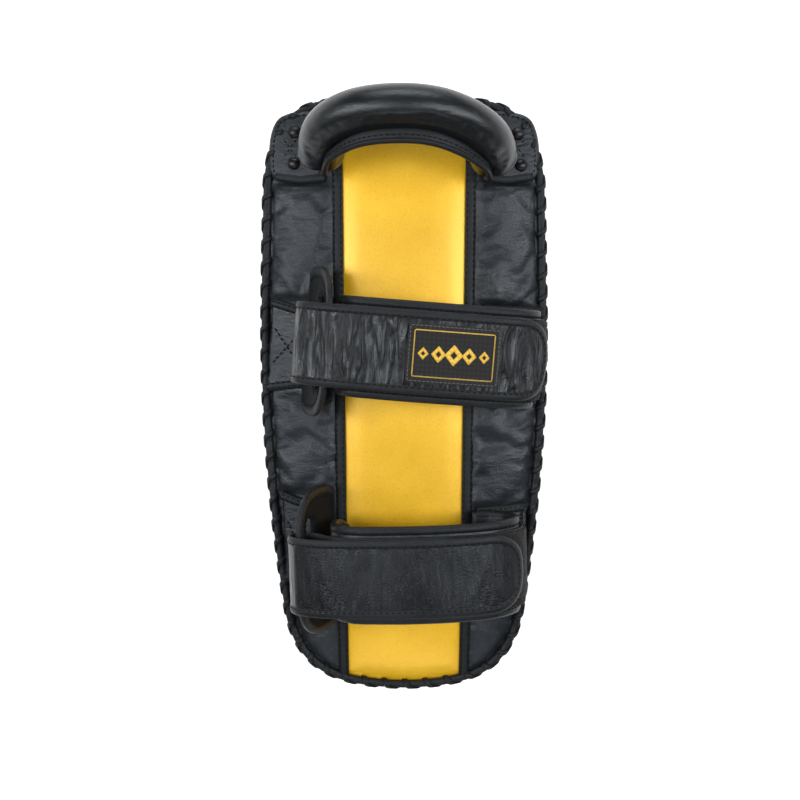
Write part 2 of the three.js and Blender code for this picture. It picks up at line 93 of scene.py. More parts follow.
# Left-hand runs are [across, height above the pad] points; wrinkle is how creased the strap is.
STRAPS = {
    "upper": dict(
        middle=36.0, slant=-4.5, width=50.0, root=54.0, bulge=80.0, closure_end=7, wrinkle=1.0,
        tab=dict(root=-64.5, edge=-48.0, height=45.0, shift=0.0), anchor_shift=-6.0,
        flap_tip=[(-34, 50), (-39, 42), (-40.5, 32), (-38.5, 22), (-34, 14), (-26, 9)],
        inner_left=[(-37, 55), (-42.8, 49.5), (-45, 42.5), (-48.5, 37), (-54, 34.8), (-59, 34.6)],
        fold=[(-60.3, 34.4), (-66.5, 37.5), (-68.4, 43.5), (-65, 51), (-58.6, 56)],
        outer_left=[(-34, 63.8), (-46, 61.2), (-57, 57)],
    ),
    "lower": dict(
        middle=-105.5, slant=1.5, width=48.5, root=46.0, bulge=70.0, closure_end=8, wrinkle=0.5,
        tab=dict(root=-47.0, edge=-67.0, height=44.0, shift=4.0), anchor_shift=14.0,
        flap_tip=[(-34, 51), (-41.5, 44), (-44.5, 35), (-43, 25), (-38.5, 16), (-31, 10)],
        inner_left=[(-36, 55.5), (-45.5, 50), (-52.5, 42), (-59.2, 36.4), (-65.5, 34.6)],
        fold=[(-67.2, 34.4), (-71.6, 37.5), (-72.4, 44), (-68.4, 51.5), (-61.6, 56.2)],
        outer_left=[(-36, 63.8), (-48, 61.4), (-60, 57)],
    ),
}
# the grip's middle line, across, along and above the crown; then the rivets, across and along
GRIP_STATIONS = [(-54, 161, 12), (-48, 173.5, 31), (-32, 181, 46), (-8, 183.5, 54),
                 (18, 182.2, 52), (38, 176.3, 43), (52, 168, 29), (58, 158, 12)]
GRIP_RADIUS = 13.6  # at its middle
GRIP_END_SWELL = 0.1  # how much wider the roll is at its ends
RIVETS = [(-72.5, 157), (-72, 177.5), (77, 156), (75, 176.5)]


# ------------------------------------------------------------------ curves
def catmull(points, per=14):
    """Centripetal Catmull-Rom curve through the points."""
    p = np.array(points, float)
    out = []
    for i in range(len(p) - 1):
        before = p[i - 1] if i > 0 else 2 * p[0] - p[1]
        after = p[i + 2] if i + 2 < len(p) else 2 * p[-1] - p[-2]
        a, b, c, d = before, p[i], p[i + 1], after
        k0, k1, k2 = (max(np.linalg.norm(v), 1e-6) ** 0.5 for v in (b - a, c - b, d - c))
        m1 = ((b - a) / k0 - (c - a) / (k0 + k1) + (c - b) / k1) * k1
        m2 = ((c - b) / k1 - (d - b) / (k1 + k2) + (d - c) / k2) * k1
        for t in np.linspace(0, 1, per, endpoint=False):
            out.append((2 * t**3 - 3 * t**2 + 1) * b + (t**3 - 2 * t**2 + t) * m1
                       + (3 * t**2 - 2 * t**3) * c + (t**3 - t**2) * m2)
    out.append(p[-1])
    return np.array(out)


class Line:
    """A polyline measured by its length, open or closed."""

    def __init__(self, points, closed=False):
        pts = np.array(points, float)
        if closed:
            pts = np.vstack([pts, pts[:1]])
        keep = np.r_[True, np.linalg.norm(np.diff(pts, axis=0), axis=1) > 1e-6]
        self.pts = pts[keep]
        self.closed = closed
        self.s = np.r_[0, np.cumsum(np.linalg.norm(np.diff(self.pts, axis=0), axis=1))]
        self.length = self.s[-1]

    def at(self, s):
        s = np.asarray(s, float)
        if self.closed:
            s = np.mod(s, self.length)
        inside = np.clip(s, 0, self.length)
        place = np.stack([np.interp(inside, self.s, c) for c in self.pts.T], -1)
        return place + self.tangent(s) * (s - inside)[..., None]

    def tangent(self, s, reach=0.8):
        s = np.asarray(s, float)
        if self.closed:
            lo, hi = np.mod(s - reach, self.length), np.mod(s + reach, self.length)
        else:
            lo = np.clip(s - reach, 0, self.length - 2 * reach)
            hi = np.clip(s + reach, 2 * reach, self.length)
        a, b = (np.stack([np.interp(v, self.s, c) for c in self.pts.T], -1) for v in (lo, hi))
        d = b - a
        return d / np.maximum(np.linalg.norm(d, axis=-1, keepdims=True), 1e-9)

    def samples(self, step):
        count = max(2, int(round(self.length / step)))
        return np.linspace(0, self.length, count, endpoint=False) if self.closed \
            else np.linspace(0, self.length, count + 1)


def bezier(p0, p1, p2, p3):
    t = np.linspace(0, 1, 24, endpoint=False)[:, None]
    p0, p1, p2, p3 = (np.array(p, float) for p in (p0, p1, p2, p3))
    return (1 - t)**3 * p0 + 3 * (1 - t)**2 * t * p1 + 3 * (1 - t) * t**2 * p2 + t**3 * p3


def pad_outline():
    """The pad's plan outline, anticlockwise from the bottom middle."""
    b, t, w, m = PAD_BOTTOM, PAD_TOP, PAD_HALF_WIDTH, MIDDLE_SHIFT
    half = np.vstack([
        bezier((0, b), (42, b + 1), (72, b + 10), (80, m - 152)),
        bezier((80, m - 152), (85, m - 118), (93, m - 60), (w, m + 10)),
        bezier((w, m + 10), (95, m + 60), (93, m + 100), (92.5, m + 130)),
        bezier((92.5, m + 130), (91.5, m + 168), (80, m + 189), (52, t - 2)),
        bezier((52, t - 2), (36, t), (18, t), (0, t)),
        [(0, t)],
    ])
    mirrored = half[1:-1][::-1] * (-1, 1)
    return Line(np.vstack([half, mirrored]), closed=True)


OUTLINE = pad_outline()


def left_of(tangent):
    return np.stack([-tangent[:, 1], tangent[:, 0]], -1)


def circle(count):
    """Angles evenly round a full turn."""
    return np.linspace(0, 2 * math.pi, count, endpoint=False)


def arc(a, b, radius, start, count=9):
    """A quarter circle's points from a start angle in degrees."""
    turn = np.radians(np.linspace(start, start + 90, count))
    return [(a + radius * math.cos(w), b + radius * math.sin(w)) for w in turn]


def inset(line, distance):
    """The line moved to its left by a distance, sampled again."""
    s = line.samples(3.0)
    return Line(line.at(s) + left_of(line.tangent(s, 2.0)) * distance, closed=line.closed)


def wobble(a, b, scale_a, scale_b, seed):
    return np.array([noise.noise(Vector((x / scale_a, y / scale_b, seed))) for x, y in zip(a, b)])


# ------------------------------------------------------------------ surfaces to build on
def arm_height(x, y):
    across = 1 - np.abs(x / 97) ** 2.4
    along = 1 - np.abs(y / 203) ** 6
    sag = 3 * ((y - MIDDLE_SHIFT) / 200) ** 2
    return EDGE_Z + CROWN * np.maximum(across, 0) * np.maximum(along, 0) - sag


class PadTop:
    """The arm side of the pad: a across, b along, h above it."""

    def locate(self, a, b, h):
        slope_a = (arm_height(a + 1, b) - arm_height(a - 1, b)) / 2
        slope_b = (arm_height(a, b + 1) - arm_height(a, b - 1)) / 2
        normal = np.stack([-slope_a, -slope_b, np.ones_like(slope_a)], -1)
        normal /= np.linalg.norm(normal, axis=-1, keepdims=True)
        return np.stack([a, b, arm_height(a, b)], -1) + normal * np.asarray(h)[..., None]


TOP = PadTop()


def turned(strap, u, v):
    """A place in a strap's slanted frame, as the pad's own x and y."""
    slant = math.radians(strap["slant"])
    x = u * math.cos(slant) - v * math.sin(slant)
    return x, u * math.sin(slant) + v * math.cos(slant) + strap["middle"]


class Run:
    """A strap run: a along it from its first point, b across, h off its middle, away from the arm."""

    def __init__(self, points, strap):
        self.line = Line(points)
        self.length = self.line.length
        self.strap = strap
        self.floor = float(arm_height(np.array(52.0), np.array(strap["middle"])))

    def locate(self, a, b, h):
        p = self.line.at(a)
        t = self.line.tangent(a, 1.6)
        u = p[..., 0] + t[..., 1] * h
        z = p[..., 1] - t[..., 0] * h
        x, y = turned(self.strap, u, b)
        return np.stack([x, y, z + self.floor], -1)


# ------------------------------------------------------------------ mesh building
def make(name, verts, faces, material, body, uvs=None):
    """A smooth-shaded piece with its faces turned outward; points and run map in millimetres."""
    mesh = bpy.data.meshes.new(name)
    mesh.from_pydata((np.asarray(verts) * MM).tolist(), [], faces)
    mesh.validate()
    if uvs is not None:
        layer = mesh.uv_layers.new(name="run")
        index = np.empty(len(mesh.loops), int)
        mesh.loops.foreach_get("vertex_index", index)
        layer.data.foreach_set("uv", (np.asarray(uvs)[index] * MM * 10).ravel())
    mesh.polygons.foreach_set("use_smooth", [True] * len(mesh.polygons))
    mesh.materials.append(MATERIALS[material])
    piece = bpy.data.objects.new(name, mesh)
    bpy.context.scene.collection.objects.link(piece)
    if body:
        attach(piece, body)
    bm = bmesh.new()
    bm.from_mesh(mesh)
    bmesh.ops.recalc_face_normals(bm, faces=bm.faces)
    bm.to_mesh(mesh)
    bm.free()
    return piece


def read_points(mesh):
    """A mesh's vertices, in metres."""
    flat = np.empty(len(mesh.vertices) * 3)
    mesh.vertices.foreach_get("co", flat)
    return flat.reshape(-1, 3)


def nearest(points, line):
    """Distance from each point to the line, and the nearest point on it."""
    a, b = line.pts[:-1], line.pts[1:]
    ab = b - a
    best = np.full(len(points), np.inf)
    spot = np.zeros_like(points)
    for p0, d in zip(a, ab):
        t = np.clip(((points - p0) @ d) / max(d @ d, 1e-12), 0, 1)
        q = p0 + t[:, None] * d
        dist = np.linalg.norm(points - q, axis=1)
        closer = dist < best
        best[closer] = dist[closer]
        spot[closer] = q[closer]
    return best, spot


def inside(points, line):
    x, y = points.T
    hit = np.zeros(len(points), bool)
    for (x0, y0), (x1, y1) in zip(line.pts[:-1], line.pts[1:]):
        crosses = (y0 > y) != (y1 > y)
        with np.errstate(divide="ignore", invalid="ignore"):
            at = (x1 - x0) * (y - y0) / (y1 - y0) + x0
        hit ^= crosses & (x < at)
    return hit


def plate(name, surface, outline, low, high, material, body, step=2.0, relief=None, holes=(),
          edge_round=0.35, step_b=None):
    """A thin piece of any plan laid on a surface, from height low to high."""
    step_b = step_b or step
    lo, hi = outline.pts.min(0), outline.pts.max(0)
    counts = [max(2, int(math.ceil((hi[i] - lo[i]) / s))) for i, s in enumerate((step, step_b))]
    na, nb = counts
    ga, gb = np.meshgrid(np.linspace(lo[0], hi[0], na + 1), np.linspace(lo[1], hi[1], nb + 1),
                         indexing="ij")
    grid = np.stack([ga.ravel(), gb.ravel()], -1)
    corner = np.arange((na + 1) * (nb + 1)).reshape(na + 1, nb + 1)
    quads = np.stack([corner[:-1, :-1], corner[1:, :-1], corner[1:, 1:], corner[:-1, 1:]], -1)
    quads = quads.reshape(-1, 4)
    middle = grid[quads].mean(1)
    keep = inside(middle, outline)
    for hole in holes:
        keep &= ~inside(middle, hole)
    quads = quads[keep]
    used, flat = np.unique(quads, return_inverse=True)
    quads = flat.reshape(-1, 4)
    points = grid[used]

    edges = {}
    for q in quads:
        for i in range(4):
            key = (q[i], q[(i + 1) % 4])
            edges[key] = edges.get(key, 0) + 1
    border = [(a, b) for a, b in edges if (b, a) not in edges]
    rim = np.unique(np.array(border).ravel())
    distances, spots = nearest(points[rim], outline)
    for hole in holes:
        d2, s2 = nearest(points[rim], hole)
        closer = d2 < distances
        distances[closer], spots[closer] = d2[closer], s2[closer]
    points[rim] = spots

    depth, _ = nearest(points, outline)
    for hole in holes:
        depth = np.minimum(depth, nearest(points, hole)[0])
    a, b = points.T
    lift = relief(a, b, depth) if relief else np.zeros(len(points))
    thick = high - low
    soft = np.clip(1 - depth / max(edge_round * thick * 2, 0.01), 0, 1) ** 2 * thick * edge_round
    top = surface.locate(a, b, high + lift - soft)
    bottom = surface.locate(a, b, np.full(len(points), float(low)) + soft * 0.5)
    n = len(points)
    faces = [tuple(q) for q in quads.tolist()]
    faces += [tuple(n + i for i in reversed(q)) for q in quads.tolist()]
    faces += [(j, i, n + i, n + j) for i, j in border]
    uvs = np.vstack([points, points])
    return make(name, np.vstack([top, bottom]), faces, material, body, uvs)


def swept_faces(rings, sides, closed=False, base=0):
    """Faces through rings of points that all have the same count; open sweeps get end caps."""
    faces = []
    for i in range(rings if closed else rings - 1):
        a, b = base + i * sides, base + ((i + 1) % rings) * sides
        faces += [(a + j, a + (j + 1) % sides, b + (j + 1) % sides, b + j) for j in range(sides)]
    if not closed:
        last = base + (rings - 1) * sides
        faces += [tuple(range(base, base + sides))[::-1], tuple(range(last, last + sides))]
    return faces


def tube(name, centres, frames, section, material, body, closed=False, uv_step=1.0):
    """Section points (q, h) swept along centres; frames give the two directions at each."""
    n, k = len(centres), len(section[0]) if np.ndim(section) == 3 else len(section)
    sections = section if np.ndim(section) == 3 else [section] * n
    verts = []
    for c, (dq, dh), sec in zip(centres, frames, sections):
        verts += [c + dq * q + dh * h for q, h in sec]
    uvs = np.array([(i * uv_step, j * 2.0) for i in range(n) for j in range(k)])
    return make(name, verts, swept_faces(n, k, closed), material, body, uvs)


def edge_strip(name, surface, path, width, low, high, body, gauge=0.7, material="binding",
               step=1.6, pucker=0.12):
    """A strip folded over a plate's edge; the plate lies to the left of the path."""
    pitch = 4.0
    s = path.samples(step)
    p = path.at(s)
    left = left_of(path.tangent(s, 1.2))
    mid = (low + high) / 2
    up = high + gauge
    down = low - gauge
    profile = [(width, mid), (width, up - 0.45), (width - 0.35, up - 0.05), (width * 0.5, up + 0.12),
               (0.5, up - 0.1), (-gauge * 0.7, mid + (up - mid) * 0.62), (-gauge, mid),
               (-gauge * 0.7, mid + (down - mid) * 0.62), (0.5, down + 0.1), (width * 0.5, down),
               (width - 0.35, down + 0.05)]
    verts = []
    for q, h in profile:
        side = 1 if h > mid else 0
        ripple = pucker * np.sin(2 * np.pi * s / pitch) * side
        at = p + left * q
        verts.append(surface.locate(at[:, 0], at[:, 1], np.full(len(s), h) + ripple))
    verts = np.stack(verts, 1)
    k, n = len(profile), len(s)
    uvs = np.array([(v, j * 1.2) for v in s for j in range(k)])
    return make(name, verts.reshape(-1, 3), swept_faces(n, k, path.closed), material, body, uvs)


def stitches(name, surface, paths, height, body, pitch=4.0, length=3.0, radius=0.42,
             material="thread"):
    """Rows of single stitches along paths on a surface, joined in one piece."""
    rings, sides = 5, 6
    verts, faces = [], []
    for path in paths:
        count = max(1, int(path.length / pitch))
        mids = (np.arange(count) + 0.5) * path.length / count
        for m in mids:
            base = len(verts)
            for i in range(rings):
                x = (i / (rings - 1) - 0.5) * 2
                r = radius * math.sqrt(max(0.08, 1 - x * x))
                s = m + x * length / 2
                p, t = path.at(s), path.tangent(s)
                for j in range(sides):
                    w = 2 * math.pi * j / sides
                    q = r * math.cos(w)
                    sink = 0.25 * radius * x * x
                    verts.append((p[0] - t[1] * q, p[1] + t[0] * q,
                                  height + r * math.sin(w) * 0.9 - sink))
            faces += swept_faces(rings, sides, base=base)
    flat = np.array(verts)
    placed = surface.locate(flat[:, 0], flat[:, 1], flat[:, 2])
    return make(name, placed, faces, material, body)


def rect(a0, b0, a1, b1, radius=0.0):
    """A rectangle's outline, anticlockwise, with rounded corners."""
    if radius <= 0:
        return Line([(a0, b0), (a1, b0), (a1, b1), (a0, b1)], closed=True)
    centres = [(a1 - radius, b0 + radius, -90), (a1 - radius, b1 - radius, 0),
               (a0 + radius, b1 - radius, 90), (a0 + radius, b0 + radius, 180)]
    return Line(sum((arc(ca, cb, radius, start, 7) for ca, cb, start in centres), []), closed=True)


# ------------------------------------------------------------------ materials
COOL_SHEEN = (0.86, 0.94, 1.0, 1.0)
CREASE_LIE = (0.8, 1.7, 1.0)  # creases run more across the pad than along it


class Graph:
    """A material's nodes. An input that is given a socket is linked, any other input is set."""

    def __init__(self, name):
        self.material = bpy.data.materials.new(name)
        self.material.use_nodes = True
        self.tree = self.material.node_tree
        self.shader = self.tree.nodes["Principled BSDF"]

    def put(self, node, inputs):
        for key, value in inputs.items():
            if isinstance(value, bpy.types.NodeSocket):
                self.tree.links.new(value, node.inputs[key])
            else:
                node.inputs[key].default_value = value
        return node

    def node(self, kind, inputs):
        return self.put(self.tree.nodes.new("ShaderNode" + kind), inputs)

    def shade(self, inputs):
        self.put(self.shader, inputs)

    def place(self):
        return self.node("TexCoord", {}).outputs["Object"]

    def run_map(self):
        uv = self.node("UVMap", {})
        uv.uv_map = "run"
        return uv.outputs["UV"]

    def noise(self, coords, scale, detail, rough, stretch=None, distortion=0.0):
        if stretch:
            coords = self.node("Mapping", {"Vector": coords, "Scale": stretch}).outputs["Vector"]
        return self.node("TexNoise", {"Vector": coords, "Scale": scale, "Detail": detail,
                                      "Roughness": rough, "Distortion": distortion}).outputs["Fac"]

    def ramp(self, factor, *stops):
        node = self.node("ValToRGB", {"Fac": factor})
        for element, (position, color) in zip(node.color_ramp.elements, stops):
            element.position = position
            element.color = (*color, 1)
        return node.outputs["Color"]

    def ranged(self, factor, low, high, start=0.3, stop=0.7):
        return self.node("MapRange", {"Value": factor, "From Min": start, "From Max": stop,
                                      "To Min": low, "To Max": high}).outputs["Result"]

    def calc(self, operation, *values):
        node = self.node("Math", dict(enumerate(values)))
        node.operation = operation
        return node.outputs[0]

    def bumps(self, *layers):
        """Chained bump nodes, each (height socket, strength, distance in metres)."""
        below = {}
        for height, strength, distance in layers:
            bump = self.node("Bump", {"Strength": strength, "Distance": distance, "Height": height,
                                      **below})
            below = {"Normal": bump.outputs["Normal"]}
        self.shade(below)

    def crease_lines(self, factor):
        """Noise turned into broad ridges parted by sharp valleys."""
        return self.ranged(self.calc("ABSOLUTE", self.calc("SUBTRACT", factor, 0.5)), 0, 1, 0, 0.2)

    def grain(self, coords, scale):
        """Pebbled leather grain: cells parted by fine valleys."""
        cells = self.node("TexVoronoi", {"Vector": coords, "Scale": scale})
        cells.feature = "DISTANCE_TO_EDGE"
        return self.ranged(cells.outputs["Distance"], 0, 1, 0, 0.16)


def leather(name, dark, light, rough=(0.36, 0.55), grain=620, grain_strength=0.35, wrinkle=0.5,
            metallic=0.0, run_wrinkle=0.0, coat=0.0, specular=0.5):
    """Grained leather; run_wrinkle creases it across the run map, as a strap is."""
    graph = Graph(name)
    place = graph.place()
    cloud = graph.noise(place, 26, 5, 0.6)
    fine = graph.noise(place, 900, 3, 0.6)
    creases = graph.noise(place, 85, 5, 0.55, CREASE_LIE, 0.9)
    grains = graph.grain(place, grain)
    mix = graph.node("Mix", {})
    mix.data_type = "RGBA"
    mix.blend_type = "MULTIPLY"
    graph.put(mix, {0: 0.5, 6: graph.ramp(cloud, (0.35, dark), (0.68, light)),
                    7: graph.ramp(grains, (0.0, (0.62, 0.62, 0.62)), (1.0, (1, 1, 1)))})
    graph.shade({"Base Color": mix.outputs[2], "Roughness": graph.ranged(cloud, *rough),
                 "Metallic": metallic, "Specular IOR Level": specular, "Coat Weight": coat,
                 "Coat Roughness": 0.35})
    if not metallic:
        graph.shade({"Specular Tint": COOL_SHEEN})
    layers = [(creases, wrinkle, 0.0009), (grains, grain_strength, 0.00016), (fine, 0.25, 0.00012)]
    if run_wrinkle:
        run = graph.run_map()
        ridges = graph.crease_lines(graph.noise(run, 1, 2, 0.45, (19, 3.2, 1), 0.5))
        small = graph.noise(run, 1, 2, 0.5, (46, 13, 1), 0.8)
        dull, bright = specular * (1 - 0.7 * run_wrinkle), specular * (1 + 0.3 * run_wrinkle)
        graph.shade({"Specular IOR Level": graph.ranged(ridges, dull, bright)})
        layers = [(ridges, run_wrinkle, 0.0014), (small, run_wrinkle * 0.8, 0.0006)] + layers
    graph.bumps(*layers)
    return graph.material


def fabric(name, dark, light, scale_u, scale_v, strength=0.6, rough=0.9, sheen=0.3):
    """Woven cloth with ribs along and across the run map."""
    graph = Graph(name)
    run = graph.run_map()
    ribs = []
    for axis, scale in (("X", scale_u), ("Y", scale_v)):
        wave = graph.node("TexWave", {"Vector": run, "Scale": scale, "Distortion": 0.6, "Detail": 1.0})
        wave.bands_direction = axis
        ribs.append(wave.outputs["Fac"])
    weave = graph.calc("MULTIPLY", *ribs)
    graph.shade({"Base Color": graph.ramp(weave, (0, dark), (1, light)), "Roughness": rough,
                 "Specular IOR Level": 0.3, "Sheen Weight": sheen})
    graph.bumps((weave, strength, 0.0004))
    return graph.material


def fuzzy(name, dark, light, scale=900, strength=1.0):
    """Hook or loop tape."""
    graph = Graph(name)
    place = graph.place()
    tufts = graph.noise(place, scale, 6, 0.75)
    clumps = graph.noise(place, scale / 6, 3, 0.6)
    graph.shade({"Base Color": graph.ramp(tufts, (0.35, dark), (0.7, light)), "Roughness": 0.95,
                 "Specular IOR Level": 0.2, "Sheen Weight": 0.1})
    graph.bumps((clumps, 0.5, 0.001), (tufts, strength, 0.0008))
    return graph.material


def foam(name, dark, light):
    graph = Graph(name)
    place = graph.place()
    pores = graph.grain(place, 900)
    cloud = graph.noise(place, 60, 4, 0.6)
    graph.shade({"Base Color": graph.ramp(cloud, (0.35, dark), (0.7, light)), "Roughness": 0.92})
    graph.bumps((pores, 0.6, 0.0004))
    return graph.material


def metal(name, dark, light, rough):
    graph = Graph(name)
    scuffs = graph.noise(graph.place(), 420, 6, 0.7)
    graph.shade({"Base Color": graph.ramp(scuffs, (0.45, dark), (0.75, light)),
                 "Roughness": graph.ranged(scuffs, rough - 0.1, rough + 0.15), "Metallic": 0.85})
    graph.bumps((scuffs, 0.15, 0.0002))
    return graph.material


MATERIALS = {
    "black": leather("black_leather", (0.005, 0.0058, 0.0075), (0.011, 0.0128, 0.0165),
                     rough=(0.34, 0.48), wrinkle=0.7, specular=0.48),
    "tab": leather("tab_leather", (0.004, 0.0044, 0.005), (0.009, 0.0096, 0.011), rough=(0.55, 0.7),
                   wrinkle=0.4, specular=0.1),
    "gusset": leather("gusset_leather", (0.006, 0.0066, 0.008), (0.012, 0.0135, 0.017),
                      wrinkle=0.7, specular=0.32),
    "strap": leather("strap_leather", (0.0035, 0.0037, 0.0044), (0.008, 0.0084, 0.010),
                     rough=(0.26, 0.38), run_wrinkle=0.85, wrinkle=0.15, coat=0.1, specular=0.42),
    "strap_smooth": leather("strap_smooth_leather", (0.0035, 0.0037, 0.0044), (0.008, 0.0084, 0.010),
                            rough=(0.24, 0.34), run_wrinkle=0.09, wrinkle=0.12, coat=0.1, specular=0.42),
    "strap_plain": leather("strap_inner_leather", (0.006, 0.0063, 0.0072), (0.012, 0.0125, 0.014),
                           run_wrinkle=0.2, wrinkle=0.3, specular=0.3),
    "grip": leather("grip_leather", (0.0025, 0.0027, 0.0032), (0.0055, 0.006, 0.007),
                    rough=(0.27, 0.38), wrinkle=0.4, grain_strength=0.22, coat=0.1, specular=0.42),
    "gold": leather("gold_leather", (0.81, 0.455, 0.008), (0.88, 0.52, 0.016), rough=(0.34, 0.42),
                    grain=900, grain_strength=0.12, wrinkle=0.1, metallic=0.24, coat=0.4, specular=0.42),
    "binding": leather("binding_leather", (0.007, 0.0075, 0.0086), (0.0130, 0.0136, 0.0154),
                       rough=(0.38, 0.52), grain=800, wrinkle=0.35, specular=0.24),
    "lace": leather("lace_leather", (0.005, 0.005, 0.0055), (0.011, 0.011, 0.012),
                    rough=(0.36, 0.5), grain=900, wrinkle=0.4, specular=0.26),
    "thread": fabric("black_thread", (0.0004, 0.0004, 0.0005), (0.0015, 0.0015, 0.0018), 30, 30,
                     sheen=0.0),
    "pale_thread": fabric("pale_thread", (0.10, 0.10, 0.09), (0.22, 0.21, 0.18), 30, 30),
    "lining": fabric("olive_lining", (0.045, 0.045, 0.030), (0.085, 0.083, 0.058), 9, 9, 0.5),
    "webbing": fabric("ribbed_webbing", (0.003, 0.003, 0.0033), (0.012, 0.012, 0.013), 5, 11, 1.0,
                      sheen=0.0),
    "pile": fuzzy("loop_pile", (0.002, 0.002, 0.0023), (0.010, 0.010, 0.011)),
    "hook": fuzzy("hook_tape", (0.006, 0.006, 0.007), (0.02, 0.02, 0.021), 1500, 0.7),
    "label": fabric("label_weave", (0.004, 0.004, 0.004), (0.012, 0.012, 0.013), 11, 11, 0.5, 0.75),
    "gold_thread": fabric("gold_thread", (0.62, 0.36, 0.03), (0.9, 0.62, 0.10), 12, 12, 0.7, 0.55),
    "rivet": metal("black_rivet", (0.02, 0.02, 0.022), (0.07, 0.07, 0.075), 0.33),
    "strike_foam": foam("strike_foam", (0.26, 0.29, 0.32), (0.36, 0.39, 0.42)),
    "shock_foam": foam("shock_foam", (0.05, 0.24, 0.5), (0.10, 0.34, 0.66)),
    "core_foam": foam("core_foam", (0.62, 0.58, 0.46), (0.74, 0.70, 0.58)),
    "back_foam": foam("back_foam", (0.5, 0.38, 0.2), (0.64, 0.5, 0.3)),
    "board": foam("fibre_board", (0.12, 0.08, 0.05), (0.2, 0.14, 0.09)),
}


# ------------------------------------------------------------------ camera, floor and light
def build_stage():
    camera = bpy.data.objects.new("camera", bpy.data.cameras.new("camera"))
    camera.data.lens = 50
    camera.data.sensor_width = 36
    camera.data.clip_end = 20
    camera.location = (-0.0027, 0.0673, 0.828)
    camera.rotation_euler = (math.radians(-5.14), 0, 0)
    bpy.context.scene.collection.objects.link(camera)
    bpy.context.scene.camera = camera
    bpy.context.scene.view_settings.view_transform = "Standard"

    graph = Graph("pale_floor")
    cloud = graph.noise(graph.place(), 3, 3, 0.5)
    graph.shade({"Base Color": graph.ramp(cloud, (0.3, (0.86, 0.86, 0.86)), (0.7, (0.9, 0.9, 0.9))),
                 "Roughness": 0.7, "Emission Color": (1, 1, 1, 1), "Emission Strength": 0.45})
    mesh = bpy.data.meshes.new("floor")
    mesh.from_pydata([(-3, -3, 0), (3, -3, 0), (3, 3, 0), (-3, 3, 0)], [], [(0, 1, 2, 3)])
    mesh.materials.append(graph.material)
    floor = bpy.data.objects.new("floor", mesh)
    bpy.context.scene.collection.objects.link(floor)
    floor.location.z = -0.0004

    def softbox(name, where, size, power):
        data = bpy.data.lights.new(name, "AREA")
        data.shape = "RECTANGLE"
        data.size, data.size_y = size
        data.energy = power
        lamp = bpy.data.objects.new(name, data)
        lamp.location = where
        lamp.rotation_euler = (-Vector(where)).to_track_quat("-Z", "Y").to_euler()
        bpy.context.scene.collection.objects.link(lamp)

    for side, word in ((-1, "left"), (1, "right")):
        softbox(f"{word}_softbox", (side * 1.15, 0.2, 1.5), (0.45, 1.9), 25)
    softbox("top_softbox", (0.0, 2.1, 1.0), (1.8, 0.7), 24)
    softbox("front_softbox", (0.0, -1.6, 1.5), (1.8, 0.5), 8)
    world = bpy.data.worlds.new("studio")
    world.use_nodes = True
    background = world.node_tree.nodes["Background"]
    background.inputs["Color"].default_value = (0.9, 0.95, 1, 1)
    background.inputs["Strength"].default_value = 0.12
    bpy.context.scene.world = world


# ------------------------------------------------------------------ simulation
def inflate(piece, pressure, cap, pinned, shrink):
    """Cloth pressure on a closed piece, its pinned vertices held, applied to the mesh.

    No vertex moves more than the cap, in millimetres.
    """
    mesh = piece.data
    before = read_points(mesh)
    group = piece.vertex_groups.new(name="pin")
    group.add([int(i) for i in np.flatnonzero(pinned)], 1.0, "REPLACE")
    cloth = piece.modifiers.new("cloth", "CLOTH")
    settings = cloth.settings
    settings.quality = 6
    settings.mass = 0.3
    settings.tension_stiffness = CLOTH_STIFFNESS
    settings.compression_stiffness = CLOTH_STIFFNESS
    settings.shear_stiffness = CLOTH_STIFFNESS / 2
    settings.bending_stiffness = 2.0
    settings.use_pressure = True
    settings.uniform_pressure_force = pressure
    settings.shrink_min = shrink
    settings.vertex_group_mass = "pin"
    settings.effector_weights.gravity = 0
    cloth.collision_settings.use_collision = False
    cloth.point_cache.frame_start = 1
    cloth.point_cache.frame_end = CLOTH_FRAMES
    scene = bpy.context.scene
    for number in range(1, CLOTH_FRAMES + 1):
        scene.frame_set(number)
    graph = bpy.context.evaluated_depsgraph_get()
    after = read_points(piece.evaluated_get(graph).to_mesh())
    piece.evaluated_get(graph).to_mesh_clear()
    piece.modifiers.remove(cloth)
    piece.vertex_groups.remove(group)
    scene.frame_set(1)
    move = after - before
    size = np.linalg.norm(move, axis=1, keepdims=True)
    move *= np.minimum(1, cap * MM / np.maximum(size, 1e-9))
    mesh.vertices.foreach_set("co", (before + move).ravel())
    mesh.update()


